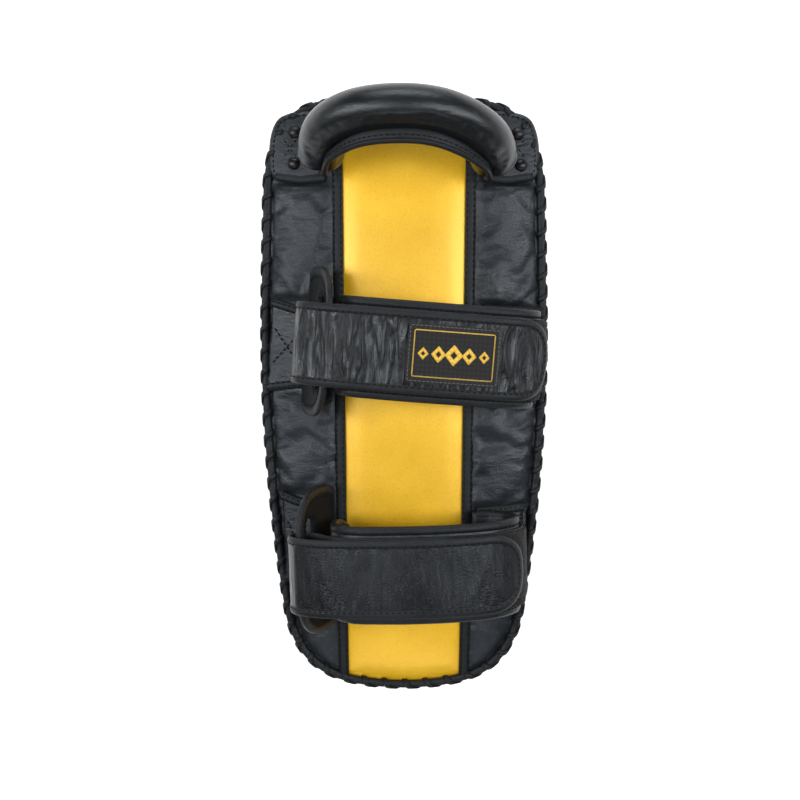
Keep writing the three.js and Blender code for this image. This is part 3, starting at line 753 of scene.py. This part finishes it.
# ------------------------------------------------------------------ pad body
def build_body():
    seam_top = GOLD_HALF_TOP + SEAM_BINDING / 2
    seam_bottom = GOLD_HALF_BOTTOM + SEAM_BINDING / 2
    rim = inset(OUTLINE, 3.0)

    def seam_x(y):
        return seam_bottom + (seam_top - seam_bottom) * (y - PAD_BOTTOM) / (PAD_TOP - PAD_BOTTOM)

    def clipped(low_x, high_x):
        """The part of the pad's rim between two lines along the pad."""
        pts = rim.at(rim.samples(1.5))
        kept = [(min(max(x, low_x(y)), high_x(y)), y) for x, y in pts]
        return Line(kept, closed=True)

    def puff(a, b, d):
        edge = np.clip(d / 10.0, 0, 1)
        soft = 3.4 * (edge * (2 - edge)) - 1.5
        waves = 1.2 * wobble(a, b, 42, 55, 3.1) + 0.2 * wobble(a, b, 15, 22, 8.7)
        creases = 0.2 * (1 - 3 * np.abs(wobble(a + b * 0.5, b, 9, 16, 2.6)))
        return soft + (waves + creases) * edge

    def straps_pull(a, b):
        """Leather drawn into shallow folds beside each sewn anchor."""
        pull = np.zeros(len(a))
        for strap in STRAPS.values():
            for side in (-1, 1):
                dx = a - side * 68
                dy = b - (strap["middle"] - side * 5)
                far = np.hypot(dx, np.maximum(np.abs(dy) - 31, 0))
                turn = np.arctan2(np.maximum(np.abs(dy) - 24, 0.1) * np.sign(dy), dx)
                fold = np.cos(turn * 7 + dy * 0.13) * np.exp(-far / 20)
                pull += 0.8 * fold * (np.abs(dy) > 30)
        return pull

    def panel_relief(a, b, d):
        free = 1 - sewn_down(a, b)
        loose = np.maximum(puff(a, b, d), -1.5) + straps_pull(a, b) * np.clip(d / 9.0, 0, 1)
        return loose * free - 0.8 * (1 - free)

    def gold_relief(a, b, d):
        edge = np.clip(d / 16.0, 0, 1)
        dents = 0.45 * wobble(a, b, 34, 40, 5.5)
        return 2.2 * edge * (2 - edge) - 1.9 + dents * edge

    pieces = {
        "left": clipped(lambda y: -BEYOND, lambda y: -seam_x(y) - 0.2),
        "centre": clipped(lambda y: -seam_x(y) + 0.2, lambda y: seam_x(y) - 0.2),
        "right": clipped(lambda y: seam_x(y) + 0.2, lambda y: BEYOND),
    }
    for word, outline in pieces.items():
        gold = word == "centre"
        panel = plate(f"back_panel_{word}_leather", TOP, outline, -1.8, 0.0,
                      "gold" if gold else "black", "pad", step=2.2,
                      relief=gold_relief if gold else panel_relief)
        if not gold:
            inflate_panel(panel, outline)
        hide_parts(f"back_panel_{word}")

    for side, word in ((-1, "left"), (1, "right")):
        half = SEAM_BINDING / 2
        ys = np.linspace(PAD_BOTTOM + 5.0, PAD_TOP - 4.0, 60)
        middle = Line([(side * seam_x(y), y) for y in ys])
        strip_outline = Line(
            [(side * seam_x(y) - half, y) for y in ys[::-1]] + [(side * seam_x(y) + half, y) for y in ys],
            closed=True)
        crown = lambda a, b, d: 0.55 * np.clip(d / 2.4, 0, 1) - 0.3
        strip = plate(f"seam_binding_{word}_leather", TOP, strip_outline, -0.6, 1.0, "binding", "pad",
                      step=1.15, step_b=2.2, relief=crown)
        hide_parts(f"seam_binding_{word}")
        rows = [inset(middle, offset) for offset in (-2.2, 2.2)]
        threads = stitches(f"seam_stitches_{word}", TOP, rows, 1.15, "pad")

    build_gusset()
    build_strike_face()
    build_edge()


def sewn_down(a, b):
    """1 where the leather lies sewn under an anchor or a grip tab, fading to 0 over 6 mm."""
    held = np.clip((np.minimum(np.abs(a) - 50, b - 146) + 6) / 6, 0, 1)
    for strap in STRAPS.values():
        slant = math.radians(strap["slant"])
        y = b - strap["middle"]
        u = a * math.cos(slant) + y * math.sin(slant)
        v = y * math.cos(slant) - a * math.sin(slant) - strap["anchor_shift"] * (u < 0)
        held = np.maximum(held, np.clip((np.minimum(np.abs(u) - 50, 30 - np.abs(v)) + 6) / 6, 0, 1))
    return held


def inflate_panel(panel, outline):
    """Fills a back panel with cloth pressure, held along its seams and where pieces are sewn on it."""
    co = read_points(panel.data) / MM
    plan = co[:, :2]
    top_side = np.arange(len(co)) < len(co) // 2
    depth = nearest(plan, outline)[0]
    pinned = ~top_side | (depth < 3.0) | (sewn_down(plan[:, 0], plan[:, 1]) > 0.3)
    inflate(panel, 3.0, 1.3, pinned, shrink=-0.02)


def edge_ring(s, z=None):
    """Places round the pad, at height z or on the edge binding, and the way outward at each."""
    p, t = OUTLINE.at(s), OUTLINE.tangent(s, 2.0)
    heights = arm_height(p[:, 0], p[:, 1]) - EDGE_SINK if z is None else np.full(len(s), z)
    return np.column_stack([p, heights]), np.column_stack([-left_of(t), np.zeros(len(t))])


def build_gusset():
    s = OUTLINE.samples(3.2)
    base = OUTLINE.at(s)
    outward = -left_of(OUTLINE.tangent(s, 2.0))
    top_z = arm_height(base[:, 0], base[:, 1]) - 4.0
    rows = 24
    verts, uvs = [], []
    for r in range(rows + 1):
        f = r / rows
        z = (RIM_Z + 2.2) * (1 - f) + top_z * f
        belly = 2.2 * math.sin(math.pi * f) ** 0.7 - 2.0
        ripple = 0.7 * wobble(s, z, 26, 30, 4.4) + 0.35 * wobble(s, z, 9, 34, 9.9)
        out = belly + ripple * math.sin(math.pi * f)
        p = base + outward * out[:, None]
        verts.append(np.column_stack([p, z]))
        uvs.append(np.column_stack([s, z]))
    n = len(s)
    faces = [(r * n + i, r * n + (i + 1) % n, (r + 1) * n + (i + 1) % n, (r + 1) * n + i)
             for r in range(rows) for i in range(n)]
    gusset = make("side_gusset_leather", np.vstack(verts), faces, "gusset", "pad",
                  uvs=np.vstack(uvs))
    shell = gusset.modifiers.new("thickness", "SOLIDIFY")
    shell.thickness = 1.6 * MM
    shell.offset = -1
    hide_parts("side_gusset")

    centres, outward = edge_ring(OUTLINE.samples(3.0), RIM_Z + 1.7)
    cord = [(2.0 * math.cos(w) - 0.6, 1.7 * math.sin(w)) for w in circle(10)]
    welt = tube("front_welt_piping", centres, [(o, UP) for o in outward], cord, "binding", "pad",
                closed=True)
    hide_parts("front_welt")


def build_strike_face():
    crown_width = 26.0

    def strike_relief(a, b, d):
        near = np.clip(1 - d / crown_width, 0, 1)
        return RIM_Z * (np.sqrt(np.clip(1 - near ** 2.2, 0, 1)) - 1)

    class Under:
        def locate(self, a, b, h):
            return np.stack([a, b, -np.asarray(h)], -1)

    face = plate("strike_face_leather", Under(), inset(OUTLINE, 2.2), -2.0, 0.0, "black", "pad",
                 step=3.0, relief=strike_relief, edge_round=0.1)
    # the inner side follows the crown too
    co = read_points(face.data)
    half = len(co) // 2
    co[half:, 2] = co[:half, 2] + 1.9 * MM
    face.data.vertices.foreach_set("co", co.ravel())
    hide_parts("strike_cover")


def build_edge():
    """Edge binding round the arm side, and the lace whipped round it."""
    s = OUTLINE.samples(1.5)
    pitch = OUTLINE.length / LACE_WRAPS
    phase = np.mod(s / pitch, 1.0)
    pinch = np.exp(-((phase - 0.5) / 0.16) ** 2)
    centres, outward = edge_ring(s)
    sections = []
    for squeeze in pinch:
        grow = 1.08 - 0.2 * squeeze
        sections.append([(2.7 * math.cos(w) - 1.1,
                          3.1 * grow * math.sin(w) + 0.35 * math.cos(2 * w) * grow)
                         for w in circle(12)])
    binding = tube("edge_binding_leather", centres, [(o, UP) for o in outward], np.array(sections),
                   "binding", "pad", closed=True, uv_step=1.5)
    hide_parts("edge_binding")

    # one lace: up through the hide, over the edge in a short slant, then a long run outside it
    per_wrap = 30
    count = LACE_WRAPS * per_wrap
    turn = (np.arange(count) % per_wrap) / per_wrap
    along = np.arange(count) / per_wrap * pitch
    keys = np.array([0.0, 0.05, 0.12, 0.22, 0.30, 0.66, 0.78, 0.90, 1.0])
    angles = np.radians([205, 165, 118, 62, 22, -8, -55, -115, -155])
    angle = np.interp(turn, keys, angles)
    centres, outward = edge_ring(along)
    ring = (outward * (np.cos(angle) * LACE_REACH_OUT)[:, None]
            + UP * (np.sin(angle) * LACE_REACH_UP)[:, None])
    path = centres - outward * 1.3 + ring
    for _ in range(2):
        path = (np.roll(path, -1, 0) + 2 * path + np.roll(path, 1, 0)) / 4
    ahead = np.roll(path, -1, 0) - np.roll(path, 1, 0)
    ahead /= np.linalg.norm(ahead, axis=1, keepdims=True)
    off = ring / np.linalg.norm(ring, axis=1, keepdims=True)
    side = np.cross(ahead, off)
    side /= np.linalg.norm(side, axis=1, keepdims=True)
    off = np.cross(side, ahead)
    flat = [(1.9 * math.cos(w), 0.7 * math.sin(w)) for w in circle(8)]
    lace = tube("edge_lace", path, list(zip(side, off)), flat, "lace", "pad", closed=True)
    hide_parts("edge_lacing")


# ------------------------------------------------------------------ grip
class GripLine:
    """The grip roll's middle curve with its two cross directions."""

    def __init__(self):
        rise = float(arm_height(np.array(0.0), np.array(MIDDLE_SHIFT)))
        pts = [(x, y, rise + z) for x, y, z in GRIP_STATIONS]
        self.line = Line(catmull(pts, 20))
        self.length = self.line.length

    def frame(self, s):
        p, t = self.line.at(s), self.line.tangent(s, 2.0)
        to_end = np.array([0.0, 1.0, 0.0]) - t * t[:, 1:2]
        to_end /= np.linalg.norm(to_end, axis=1, keepdims=True)
        up = np.cross(t, to_end)
        up *= np.sign(up[:, 2:3])
        return p, to_end, up

    def middling(self, s):
        """0 at the grip's ends, 1 at its middle."""
        return np.sin(np.pi * np.clip(s / self.length, 0, 1))

    def swell(self, s):
        return 1 + GRIP_END_SWELL * (1 - self.middling(s))


def build_grip():
    grip = GripLine()
    rings, sides = 96, 44
    past = 2.5
    s = np.linspace(-past, grip.length + past, rings)
    p, to_end, up = grip.frame(s)
    swell = grip.swell(s)
    taper = 0.72 + 0.28 * np.clip(np.minimum(s + past, grip.length + past - s) / past, 0, 1) ** 0.5
    verts, uvs = [], []
    for i in range(rings):
        for j in range(sides):
            w = 2 * math.pi * j / sides
            r = GRIP_RADIUS * swell[i] * taper[i]
            seam = 1 - 0.10 * math.exp(-((w - math.pi) / 0.30) ** 2)
            verts.append(p[i] + to_end[i] * (math.cos(w) * r * seam) + up[i] * (math.sin(w) * r))
            uvs.append((s[i], j * 2.0))
    roll = make("grip_roll_leather", verts, swept_faces(rings, sides), "grip", "pad", uvs)
    index = np.arange(rings * sides)
    around = index % sides
    pinned = (index < 2 * sides) | (index >= (rings - 2) * sides) | (np.abs(around - sides // 2) <= 1)
    inflate(roll, 3.0, 1.0, pinned, shrink=-0.03)
    co = read_points(roll.data) / MM
    ripple = 0.5 * wobble(np.repeat(s, sides), around * 2.4, 8, 34, 2.2)
    ends = 1 - 0.8 * grip.middling(np.repeat(s, sides))
    inner = ends * (0.5 + 0.5 * np.cos(2 * np.pi * around / sides - math.pi))
    normal = np.array([v.normal[:] for v in roll.data.vertices])
    co += normal * (ripple * inner)[:, None]
    roll.data.vertices.foreach_set("co", (co * MM).ravel())
    smooth = roll.modifiers.new("surface", "SUBSURF")
    smooth.levels = smooth.render_levels = 1
    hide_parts("grip_cover")

    class FlangeFace:
        """a along the grip, b toward the pad's bottom from the roll's middle, h toward its outside."""

        def locate(self, a, b, h):
            s = np.asarray(a, float)
            p, to_end, up = grip.frame(s)
            narrow = 0.35 + 0.65 * grip.middling(s) ** 0.5
            reach = GRIP_RADIUS * grip.swell(s) + (b - GRIP_RADIUS) * narrow
            return p - to_end * reach[:, None] + up * np.asarray(h)[..., None]

    face = FlangeFace()
    margin, rim = 1.0, 20.8
    outline = rect(margin, GRIP_RADIUS - 2, grip.length - margin, rim, 1.5)
    flange = plate("grip_flange_leather", face, outline, -1.4, 1.0, "binding", "pad", step=2.2,
                   step_b=1.2, relief=lambda a, b, d: 0.5 * np.clip(d / 2, 0, 1) - 0.2)
    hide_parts("grip_flange")
    lip = edge_strip("grip_flange_lip", face, Line([(grip.length - margin, rim), (margin, rim)]), 2.6,
                     -1.2, 0.8, "pad", gauge=0.9, pucker=0.06)
    row = Line([(margin + 2, rim - 4.4), (grip.length - margin - 2, rim - 4.4)])
    threads = stitches("grip_flange_stitches", face, [row], 1.45, "pad")
    build_grip_tabs()


def build_grip_tabs():
    for side, word in ((-1, "left"), (1, "right")):
        corners = [(56, 144), (82, 145.5), (88, 149), (89.5, 160), (88, 177), (83, 187), (72, 191),
                   (58, 191), (50, 174), (50, 156)]
        ring = catmull(corners + corners[:1], 6)[:-1] * (side, 1)
        outline = Line(ring if side > 0 else ring[::-1], closed=True)
        dome = lambda a, b, d: 0.5 * np.clip(d / 4, 0, 1) + 0.25 * wobble(a, b, 12, 14, 6.1)
        tab = plate(f"grip_tab_{word}_leather", TOP, outline, -0.2, 2.3, "black", "pad", step=1.6,
                    relief=dome)
        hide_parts(f"grip_tab_{word}")
        rolled = Line([(side * x, y) for x, y in ((52, 146), (68, 144.5), (85, 147))][::side])
        hem = edge_strip(f"grip_tab_{word}_hem", TOP, rolled, 4.2, 0.2, 2.4, "pad", gauge=0.9)
        x0 = side * 75
        cross = [Line([(x0 - 4.5, 161), (x0 + 4.5, 173)]), Line([(x0 + 4.5, 161), (x0 - 4.5, 173)])]
        edge = inset(outline, 3.2)
        row = Line(edge.at(np.linspace(0.02, 0.98, 60) * edge.length))
        threads = stitches(f"grip_tab_{word}_stitches", TOP, cross + [row], 2.95, "pad", pitch=3.2,
                           length=2.4)

    profile = [(0.0, 2.6), (1.5, 2.5), (2.8, 2.0), (3.7, 1.2), (4.2, 0.4), (4.3, 0.0), (4.0, -0.5)]
    for number, (x, y) in enumerate(RIVETS, 1):
        centre = np.array([[float(x)], [float(y)]])
        base = TOP.locate(centre[0], centre[1], np.array([2.9]))[0]
        above = TOP.locate(centre[0], centre[1], np.array([3.9]))[0]
        normal = above - base
        across = np.cross(normal, (0, 1, 0))
        across /= np.linalg.norm(across)
        other = np.cross(normal, across)
        sides = 28
        verts = [base + normal * profile[0][1]]
        for r, h in profile[1:]:
            verts += [base + normal * h + (across * math.cos(w) + other * math.sin(w)) * r
                      for w in circle(sides)]
        faces = [(0, 1 + j, 1 + (j + 1) % sides) for j in range(sides)]
        for i in range(len(profile) - 2):
            a, b = 1 + i * sides, 1 + (i + 1) * sides
            faces += [(a + j, b + j, b + (j + 1) % sides, a + (j + 1) % sides) for j in range(sides)]
        last = 1 + (len(profile) - 2) * sides
        faces += [tuple(range(last, last + sides))]
        cap = make(f"rivet_cap_{number}", verts, faces, "rivet", "pad")
        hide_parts(f"rivet_{number}")


# ------------------------------------------------------------------ straps
def arch_curve(root, bulge):
    return Line(catmull([(root, 13.2), (bulge - 13, 14), (bulge - 3, 20), (bulge - 1.5, 31),
                         (bulge - 13, 43), (34, 50), (0, 52), (-26, 49.5)], 30))


def layer(arch, from_stop, to_stop, distance):
    """Points of a layer lying a distance outside the arch."""
    s = np.linspace(from_stop, to_stop, 60) / ARCH_STOPS * arch.length
    return arch.at(s) - left_of(arch.tangent(s, 1.5)) * distance


def joined(first, points):
    return np.vstack([first, catmull([tuple(first[-1])] + list(points), 14)[1:]])


def strap_outline(length, width, round_start, round_end):
    """A strap's outline, anticlockwise, with rounded ends of the given lengths."""
    w = width / 2
    points = []
    for tip, middle, side in ((round_end, length - round_end, -1), (round_start, round_start, 1)):
        if tip:
            for k in np.radians(np.linspace(side * 90, side * 90 + 180, 15)):
                points.append((middle + tip * math.cos(k), w * rounded(math.sin(k))))
        else:
            points += [(middle, side * w), (middle, -side * w)]
    return Line(points, closed=True)


def rounded(x):
    """Blunts a half circle toward a square end with soft corners."""
    return math.copysign(abs(x) ** 0.75, x)


def open_edge(outline, keep):
    """The longest stretch of an outline whose points pass a test."""
    s = outline.samples(1.2)
    pts = outline.at(s)
    ok = np.array([keep(a, b) for a, b in pts])
    if ok.all():
        return outline
    start = next(i for i in range(len(ok)) if ok[i] and not ok[i - 1])
    run = []
    for i in range(len(ok)):
        j = (start + i) % len(ok)
        if not ok[j]:
            break
        run.append(pts[j])
    return Line(run)


def build_strap(name, strap):
    arch = arch_curve(strap["root"], strap["bulge"])
    flap_mid = LINING_THICK + GAP + FLAP_THICK / 2
    inner_mid = flap_mid + FLAP_THICK / 2 + GAP + STRAP_THICK / 2
    loop_mid = inner_mid + STRAP_THICK / 2 + GAP + PATCH_THICK / 2
    hook_mid = loop_mid + PATCH_THICK + GAP
    outer_mid = hook_mid + PATCH_THICK / 2 + GAP + STRAP_THICK / 2
    half = STRAP_THICK / 2
    last = ARCH_STOPS
    body = f"{name}_closure"

    flap_run = Run(joined(layer(arch, 0, last, flap_mid), strap["flap_tip"]), strap)
    inner_run = Run(joined(layer(arch, 0, last - 1, inner_mid), strap["inner_left"]), strap)
    outer_points = joined(layer(arch, strap["closure_end"], last - 1, outer_mid), strap["outer_left"])
    under = inner_run.line.at(inner_run.length - 1.0)
    closure_run = Run(joined(outer_points, strap["fold"][::-1] + [tuple(under)]), strap)

    build_flap(name, flap_run, arch, strap)
    build_closure(name, strap, inner_run, closure_run, half)
    build_tapes(name, arch, strap, loop_mid, hook_mid, body)
    if name == "upper":
        build_label(arch, outer_mid + half, strap, body)
    build_slot_tab(name, strap)
    build_anchors(name, strap)


def build_flap(name, run, arch, strap):
    thick = FLAP_THICK / 2
    outline = strap_outline(run.length, FLAP_WIDTH, 0, FLAP_TIP)

    def padding(a, b, d):
        edge = np.clip(d / 10.0, 0, 1)
        return 1.3 * (edge * (2 - edge)) - 1.3 + 0.25 * wobble(a, b, 14, 20, 1.7)

    flap = plate(f"{name}_flap_leather", run, outline, -thick, thick, "black", "pad", step=2.4,
                 relief=padding, edge_round=0.3)
    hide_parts(f"{name}_flap")
    edge = open_edge(outline, lambda a, b: a > 2)
    strip = edge_strip(f"{name}_flap_binding", run, edge, BOUND_WIDTH, -thick + 0.9, thick - 0.9, "pad",
                       gauge=0.9)
    rows = stitches(f"{name}_flap_stitches", run, [inset(edge, BOUND_STITCH)], thick + 0.15, "pad",
                    pitch=3.6)
    lining_start, lining_end = (arch.length * stop / ARCH_STOPS for stop in (4, ARCH_STOPS - 1))
    lining_run = Run(layer(arch, 0, ARCH_STOPS, LINING_THICK / 2), strap)
    width = (FLAP_WIDTH - 6) / 2
    patch = rect(lining_start, -width, lining_end, width, 4)
    lining = plate(f"{name}_flap_lining_cloth", lining_run, patch, -0.6, 0.6, "lining", "pad", step=3.0,
                   relief=lambda a, b, d: 0.2 * wobble(a, b, 9, 12, 3.3))
    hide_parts(f"{name}_flap_lining")


def build_closure(name, strap, inner_run, closure_run, half):
    def wrinkles(strength, seed):
        def relief(a, b, d):
            lean = a + 2.5 * wobble(a, b, 30, 18, seed + 4)
            ridges = 1 - 2.4 * np.abs(wobble(lean, b, 4.2, 24, seed))
            folds = 1 - 2.4 * np.abs(wobble(lean, b, 8.5, 45, seed + 2))
            patch = 0.55 + 0.45 * np.clip(1.5 * wobble(a, b, 45, 60, seed + 6) + 0.5, 0, 1)
            inside_edge = np.clip((d - 4.0) / 3, 0, 1)
            return strength * patch * (0.5 * ridges + 0.4 * folds - 0.3) * inside_edge
        return relief

    top_leather = "strap" if name == "upper" else "strap_smooth"
    runs = [
        ("inner", inner_run, "pad", 0, "strap_plain", 0.4, ["inner"]),
        ("end", closure_run, None, STRAP_TIP, top_leather, 1.0, ["end", "fold"]),
    # the inner run rides the pad; the end run, fold included, rides no body and has its placement baked into
    # its mesh
    ]
    # the closure follows the pad at the foot of its fold and the closure body past the fold's top
    for word, run, rider, round_start, material, strength, nodes in runs:
        outline = strap_outline(run.length, strap["width"], round_start, 0)
        strap_face = plate(f"{name}_closure_{word}_leather", run, outline, -half, half - 0.3, material,
                           rider, step=0.9 if round_start else 2.0, step_b=1.8,
                           relief=wrinkles(strength * strap["wrinkle"], strap["width"]))
        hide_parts(*(f"{name}_closure_{node}" for node in nodes))
        pieces = [strap_face]
        if round_start:
            edges = [open_edge(outline, lambda a, b: a < run.length - 0.7)]
        else:
            w = strap["width"] / 2
            edges = [Line([(0, -w), (run.length, -w)]), Line([(run.length, w), (0, w)])]
        for k, edge in enumerate(edges):
            strip = edge_strip(f"{name}_closure_{word}_binding_{k + 1}", run, edge, BOUND_WIDTH, -half + 0.5,
                               half - 0.6, rider, gauge=0.7)
            pieces.append(strip)
        rows = stitches(f"{name}_closure_{word}_stitches", run, [inset(e, BOUND_STITCH) for e in edges],
                        half + 0.2, rider, pitch=3.8, length=2.6)
        pieces.append(rows)
        if rider is None:
            for piece in pieces:
                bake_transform(piece)


def build_tapes(name, arch, strap, loop_mid, hook_mid, body):
    half = PATCH_THICK / 2
    wide = strap["width"] / 2 - 1.5
    loop_run = Run(layer(arch, 4.4, 16, loop_mid), strap)
    fuzz = lambda a, b, d: 0.35 * wobble(a, b, 1.4, 1.4, 2.0) + 0.2 * wobble(a, b, 5, 5, 4.0)
    backing_plan = rect(0, -wide - 2, loop_run.length, wide + 2, 2)
    backing = plate(f"{name}_loop_backing_webbing", loop_run, backing_plan, -half - 0.2, -half + 0.5,
                    "webbing", "pad", step=3.0)
    pile_plan = rect(1.5, 3 - wide, loop_run.length - 1, wide + 1, 2)
    pile = plate(f"{name}_loop_pile", loop_run, pile_plan, -half + 0.5, half, "pile", "pad", step=1.3,
                 relief=fuzz)
    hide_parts(f"{name}_loop_patch")
    hook_run = Run(layer(arch, strap["closure_end"] + 1, strap["closure_end"] + 8, hook_mid), strap)
    hooks = plate(f"{name}_hook_tape", hook_run, rect(3, 2 - wide, hook_run.length, wide - 2, 2), -half, half,
                  "hook", body, step=2.0)
    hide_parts(f"{name}_hook_patch")


def build_label(arch, lift, strap, body):
    """A woven patch without words: black, with a thin gold border and a row of plain diamonds."""
    run = Run(layer(arch, 12.5, 20.5, lift), strap)
    a0 = (run.length - LABEL_LENGTH) / 2 - 1.0
    a1 = a0 + LABEL_LENGTH
    b0, b1 = -LABEL_WIDTH / 2, LABEL_WIDTH / 2
    patch = plate("upper_label_patch_cloth", run, rect(a0, b0, a1, b1, 1.5), 0.0, 0.9, "label", body,
                  step=1.4, relief=lambda a, b, d: 0.06 * wobble(a, b, 3, 3, 7.7))
    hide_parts("upper_label_patch")
    edge = rect(a0 + 1.1, b0 + 1.1, a1 - 1.1, b1 - 1.1, 1.2)
    threads = stitches("upper_label_edge_stitches", run, [edge], 0.95, body, pitch=2.6, length=2.2,
                       radius=0.22, material="pale_thread")
    frame_line = rect(a0 + 3.6, b0 + 3.6, a1 - 3.6, b1 - 3.6, 1.0)
    border = edge_strip("upper_label_border", run, frame_line, 0.8, 0.75, 1.0, body, gauge=0.12,
                        material="gold_thread", step=1.0, pucker=0)
    middle = (a0 + a1) / 2
    for k, size in enumerate((3.2, 4.4, 5.6, 4.4, 3.2)):
        centre = middle + (k - 2) * 9.4
        diamond = Line([(centre - size, 0), (centre, -size * 1.15), (centre + size, 0),
                        (centre, size * 1.15)], closed=True)
        mark = edge_strip(f"upper_label_diamond_{k + 1}", run, diamond, size * 0.5, 0.75, 1.0, body,
                          gauge=0.12, material="gold_thread", step=0.7, pucker=0)


def build_slot_tab(name, strap):
    tab = strap["tab"]
    length = math.hypot(tab["edge"] - tab["root"], tab["height"])
    root = (tab["root"], TAB_LIFT)
    shift = tab["shift"]
    edge = (tab["edge"], TAB_LIFT + tab["height"])
    run = Run([root, edge], strap)
    w, corner = TAB_WIDTH / 2, TAB_CORNER
    points = arc(length - corner, corner - w, corner, -90) + arc(length - corner, w - corner, corner, 0)
    points += [(10, w), (0, w - 4), (0, -w + 4), (10, -w)]
    outline = Line([(a, b + shift) for a, b in points], closed=True)
    slot_mid = SLOT_ALONG * length
    slot = rect(slot_mid - SLOT_HEIGHT / 2, shift - SLOT_LENGTH / 2,
                slot_mid + SLOT_HEIGHT / 2, shift + SLOT_LENGTH / 2, 4.0)
    half = TAB_THICK / 2
    leatherwork = plate(f"{name}_slot_tab_leather", run, outline, -half, half, "tab", "pad", step=1.5,
                        holes=[slot], relief=lambda a, b, d: 0.2 * wobble(a, b, 9, 12, 2.9))
    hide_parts(f"{name}_slot_tab")
    edge_line = open_edge(outline, lambda a, b: a > 1.0)
    strip = edge_strip(f"{name}_slot_tab_binding", run, edge_line, BOUND_WIDTH, -half + 0.4,
                       half - 0.4, "pad", gauge=0.8)
    around = [inset(Line(slot.pts[::-1]), grow) for grow in (1.8, 3.6)]
    for side, height in (("outer", half + 0.12), ("inner", -half - 0.12)):
        rows = stitches(f"{name}_slot_tab_stitches_{side}", run, [inset(edge_line, 6.0)] + around,
                        height, "pad", pitch=3.4, length=2.5)


def half_width(y):
    pts = OUTLINE.pts[OUTLINE.pts[:, 0] > 0]
    order = np.argsort(pts[:, 1])
    return float(np.interp(y, pts[order, 1], pts[order, 0]))


def build_anchors(name, strap):
    reach = half_width(strap["middle"]) - 4.5
    far = strap["anchor_shift"]

    def laid(points):
        return [turned(strap, u, v) for u, v in points]

    upper_left = [(-50.5, far + 25), (-70, far + 26.5), (-reach, far + 31)]
    lower_left = [(-reach, far - 31), (-70, far - 26.5), (-50.5, far - 25)]
    upper_right = [(reach, 33), (70, 32), (50, 31.5)]
    lower_right = [(50, -31.5), (70, -32), (reach, -33)]
    x0, x1 = -reach + 3, -69
    crosses = [[(x0, far - 12), (x1, far + 11)], [(x0, far + 12), (x1, far - 11)]]
    bars = [[(u, -27), (u, 27)] for u in (53.5, 56)]
    for word, edges, extra in (("left", (lower_left, upper_left), crosses),
                               ("right", (lower_right, upper_right), bars)):
        outline = Line(laid(edges[0] + edges[1]), closed=True)
        base = plate(f"{name}_anchor_{word}_leather", TOP, outline, -0.4, 1.9, "black", "pad", step=1.8,
                     relief=lambda a, b, d: 0.25 * wobble(a, b, 10, 14, 5.2))
        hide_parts(f"{name}_anchor_{word}")
        lines = [Line(laid(edge)) for edge in edges]
        for k, line in enumerate(lines):
            strip = edge_strip(f"{name}_anchor_{word}_binding_{k + 1}", TOP, line, 5.0, 0.2, 2.1, "pad",
                               gauge=0.8)
        offsets = (1.2, 4.2) if word == "left" else (1.2, 4.2, 7.0, 9.8)
        rows = [inset(line, offset) for line in lines for offset in offsets]
        rows += [Line(laid(points)) for points in extra]
        threads = stitches(f"{name}_anchor_{word}_stitches", TOP, rows, 2.95, "pad", pitch=3.4,
                           length=2.6)


# ------------------------------------------------------------------ pieces kept from the frame
def dress_frame():
    kept = {
        "foam_strike_layer": "strike_foam", "foam_shock_layer": "shock_foam",
        "foam_core_layer": "core_foam", "foam_back_layer": "back_foam",
        "reinforcement_sheet": "board", "grip_foam": "core_foam", "grip_webbing": "webbing",
    }
    kept.update({f"rivet_burr_{i}": "rivet" for i in range(1, 5)})
    for node, material in kept.items():
        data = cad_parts[node].data
        data.materials.clear()
        data.materials.append(MATERIALS[material])


build_stage()
build_body()
build_grip()
for strap_name, strap_sizes in STRAPS.items():
    build_strap(strap_name, strap_sizes)
dress_frame()
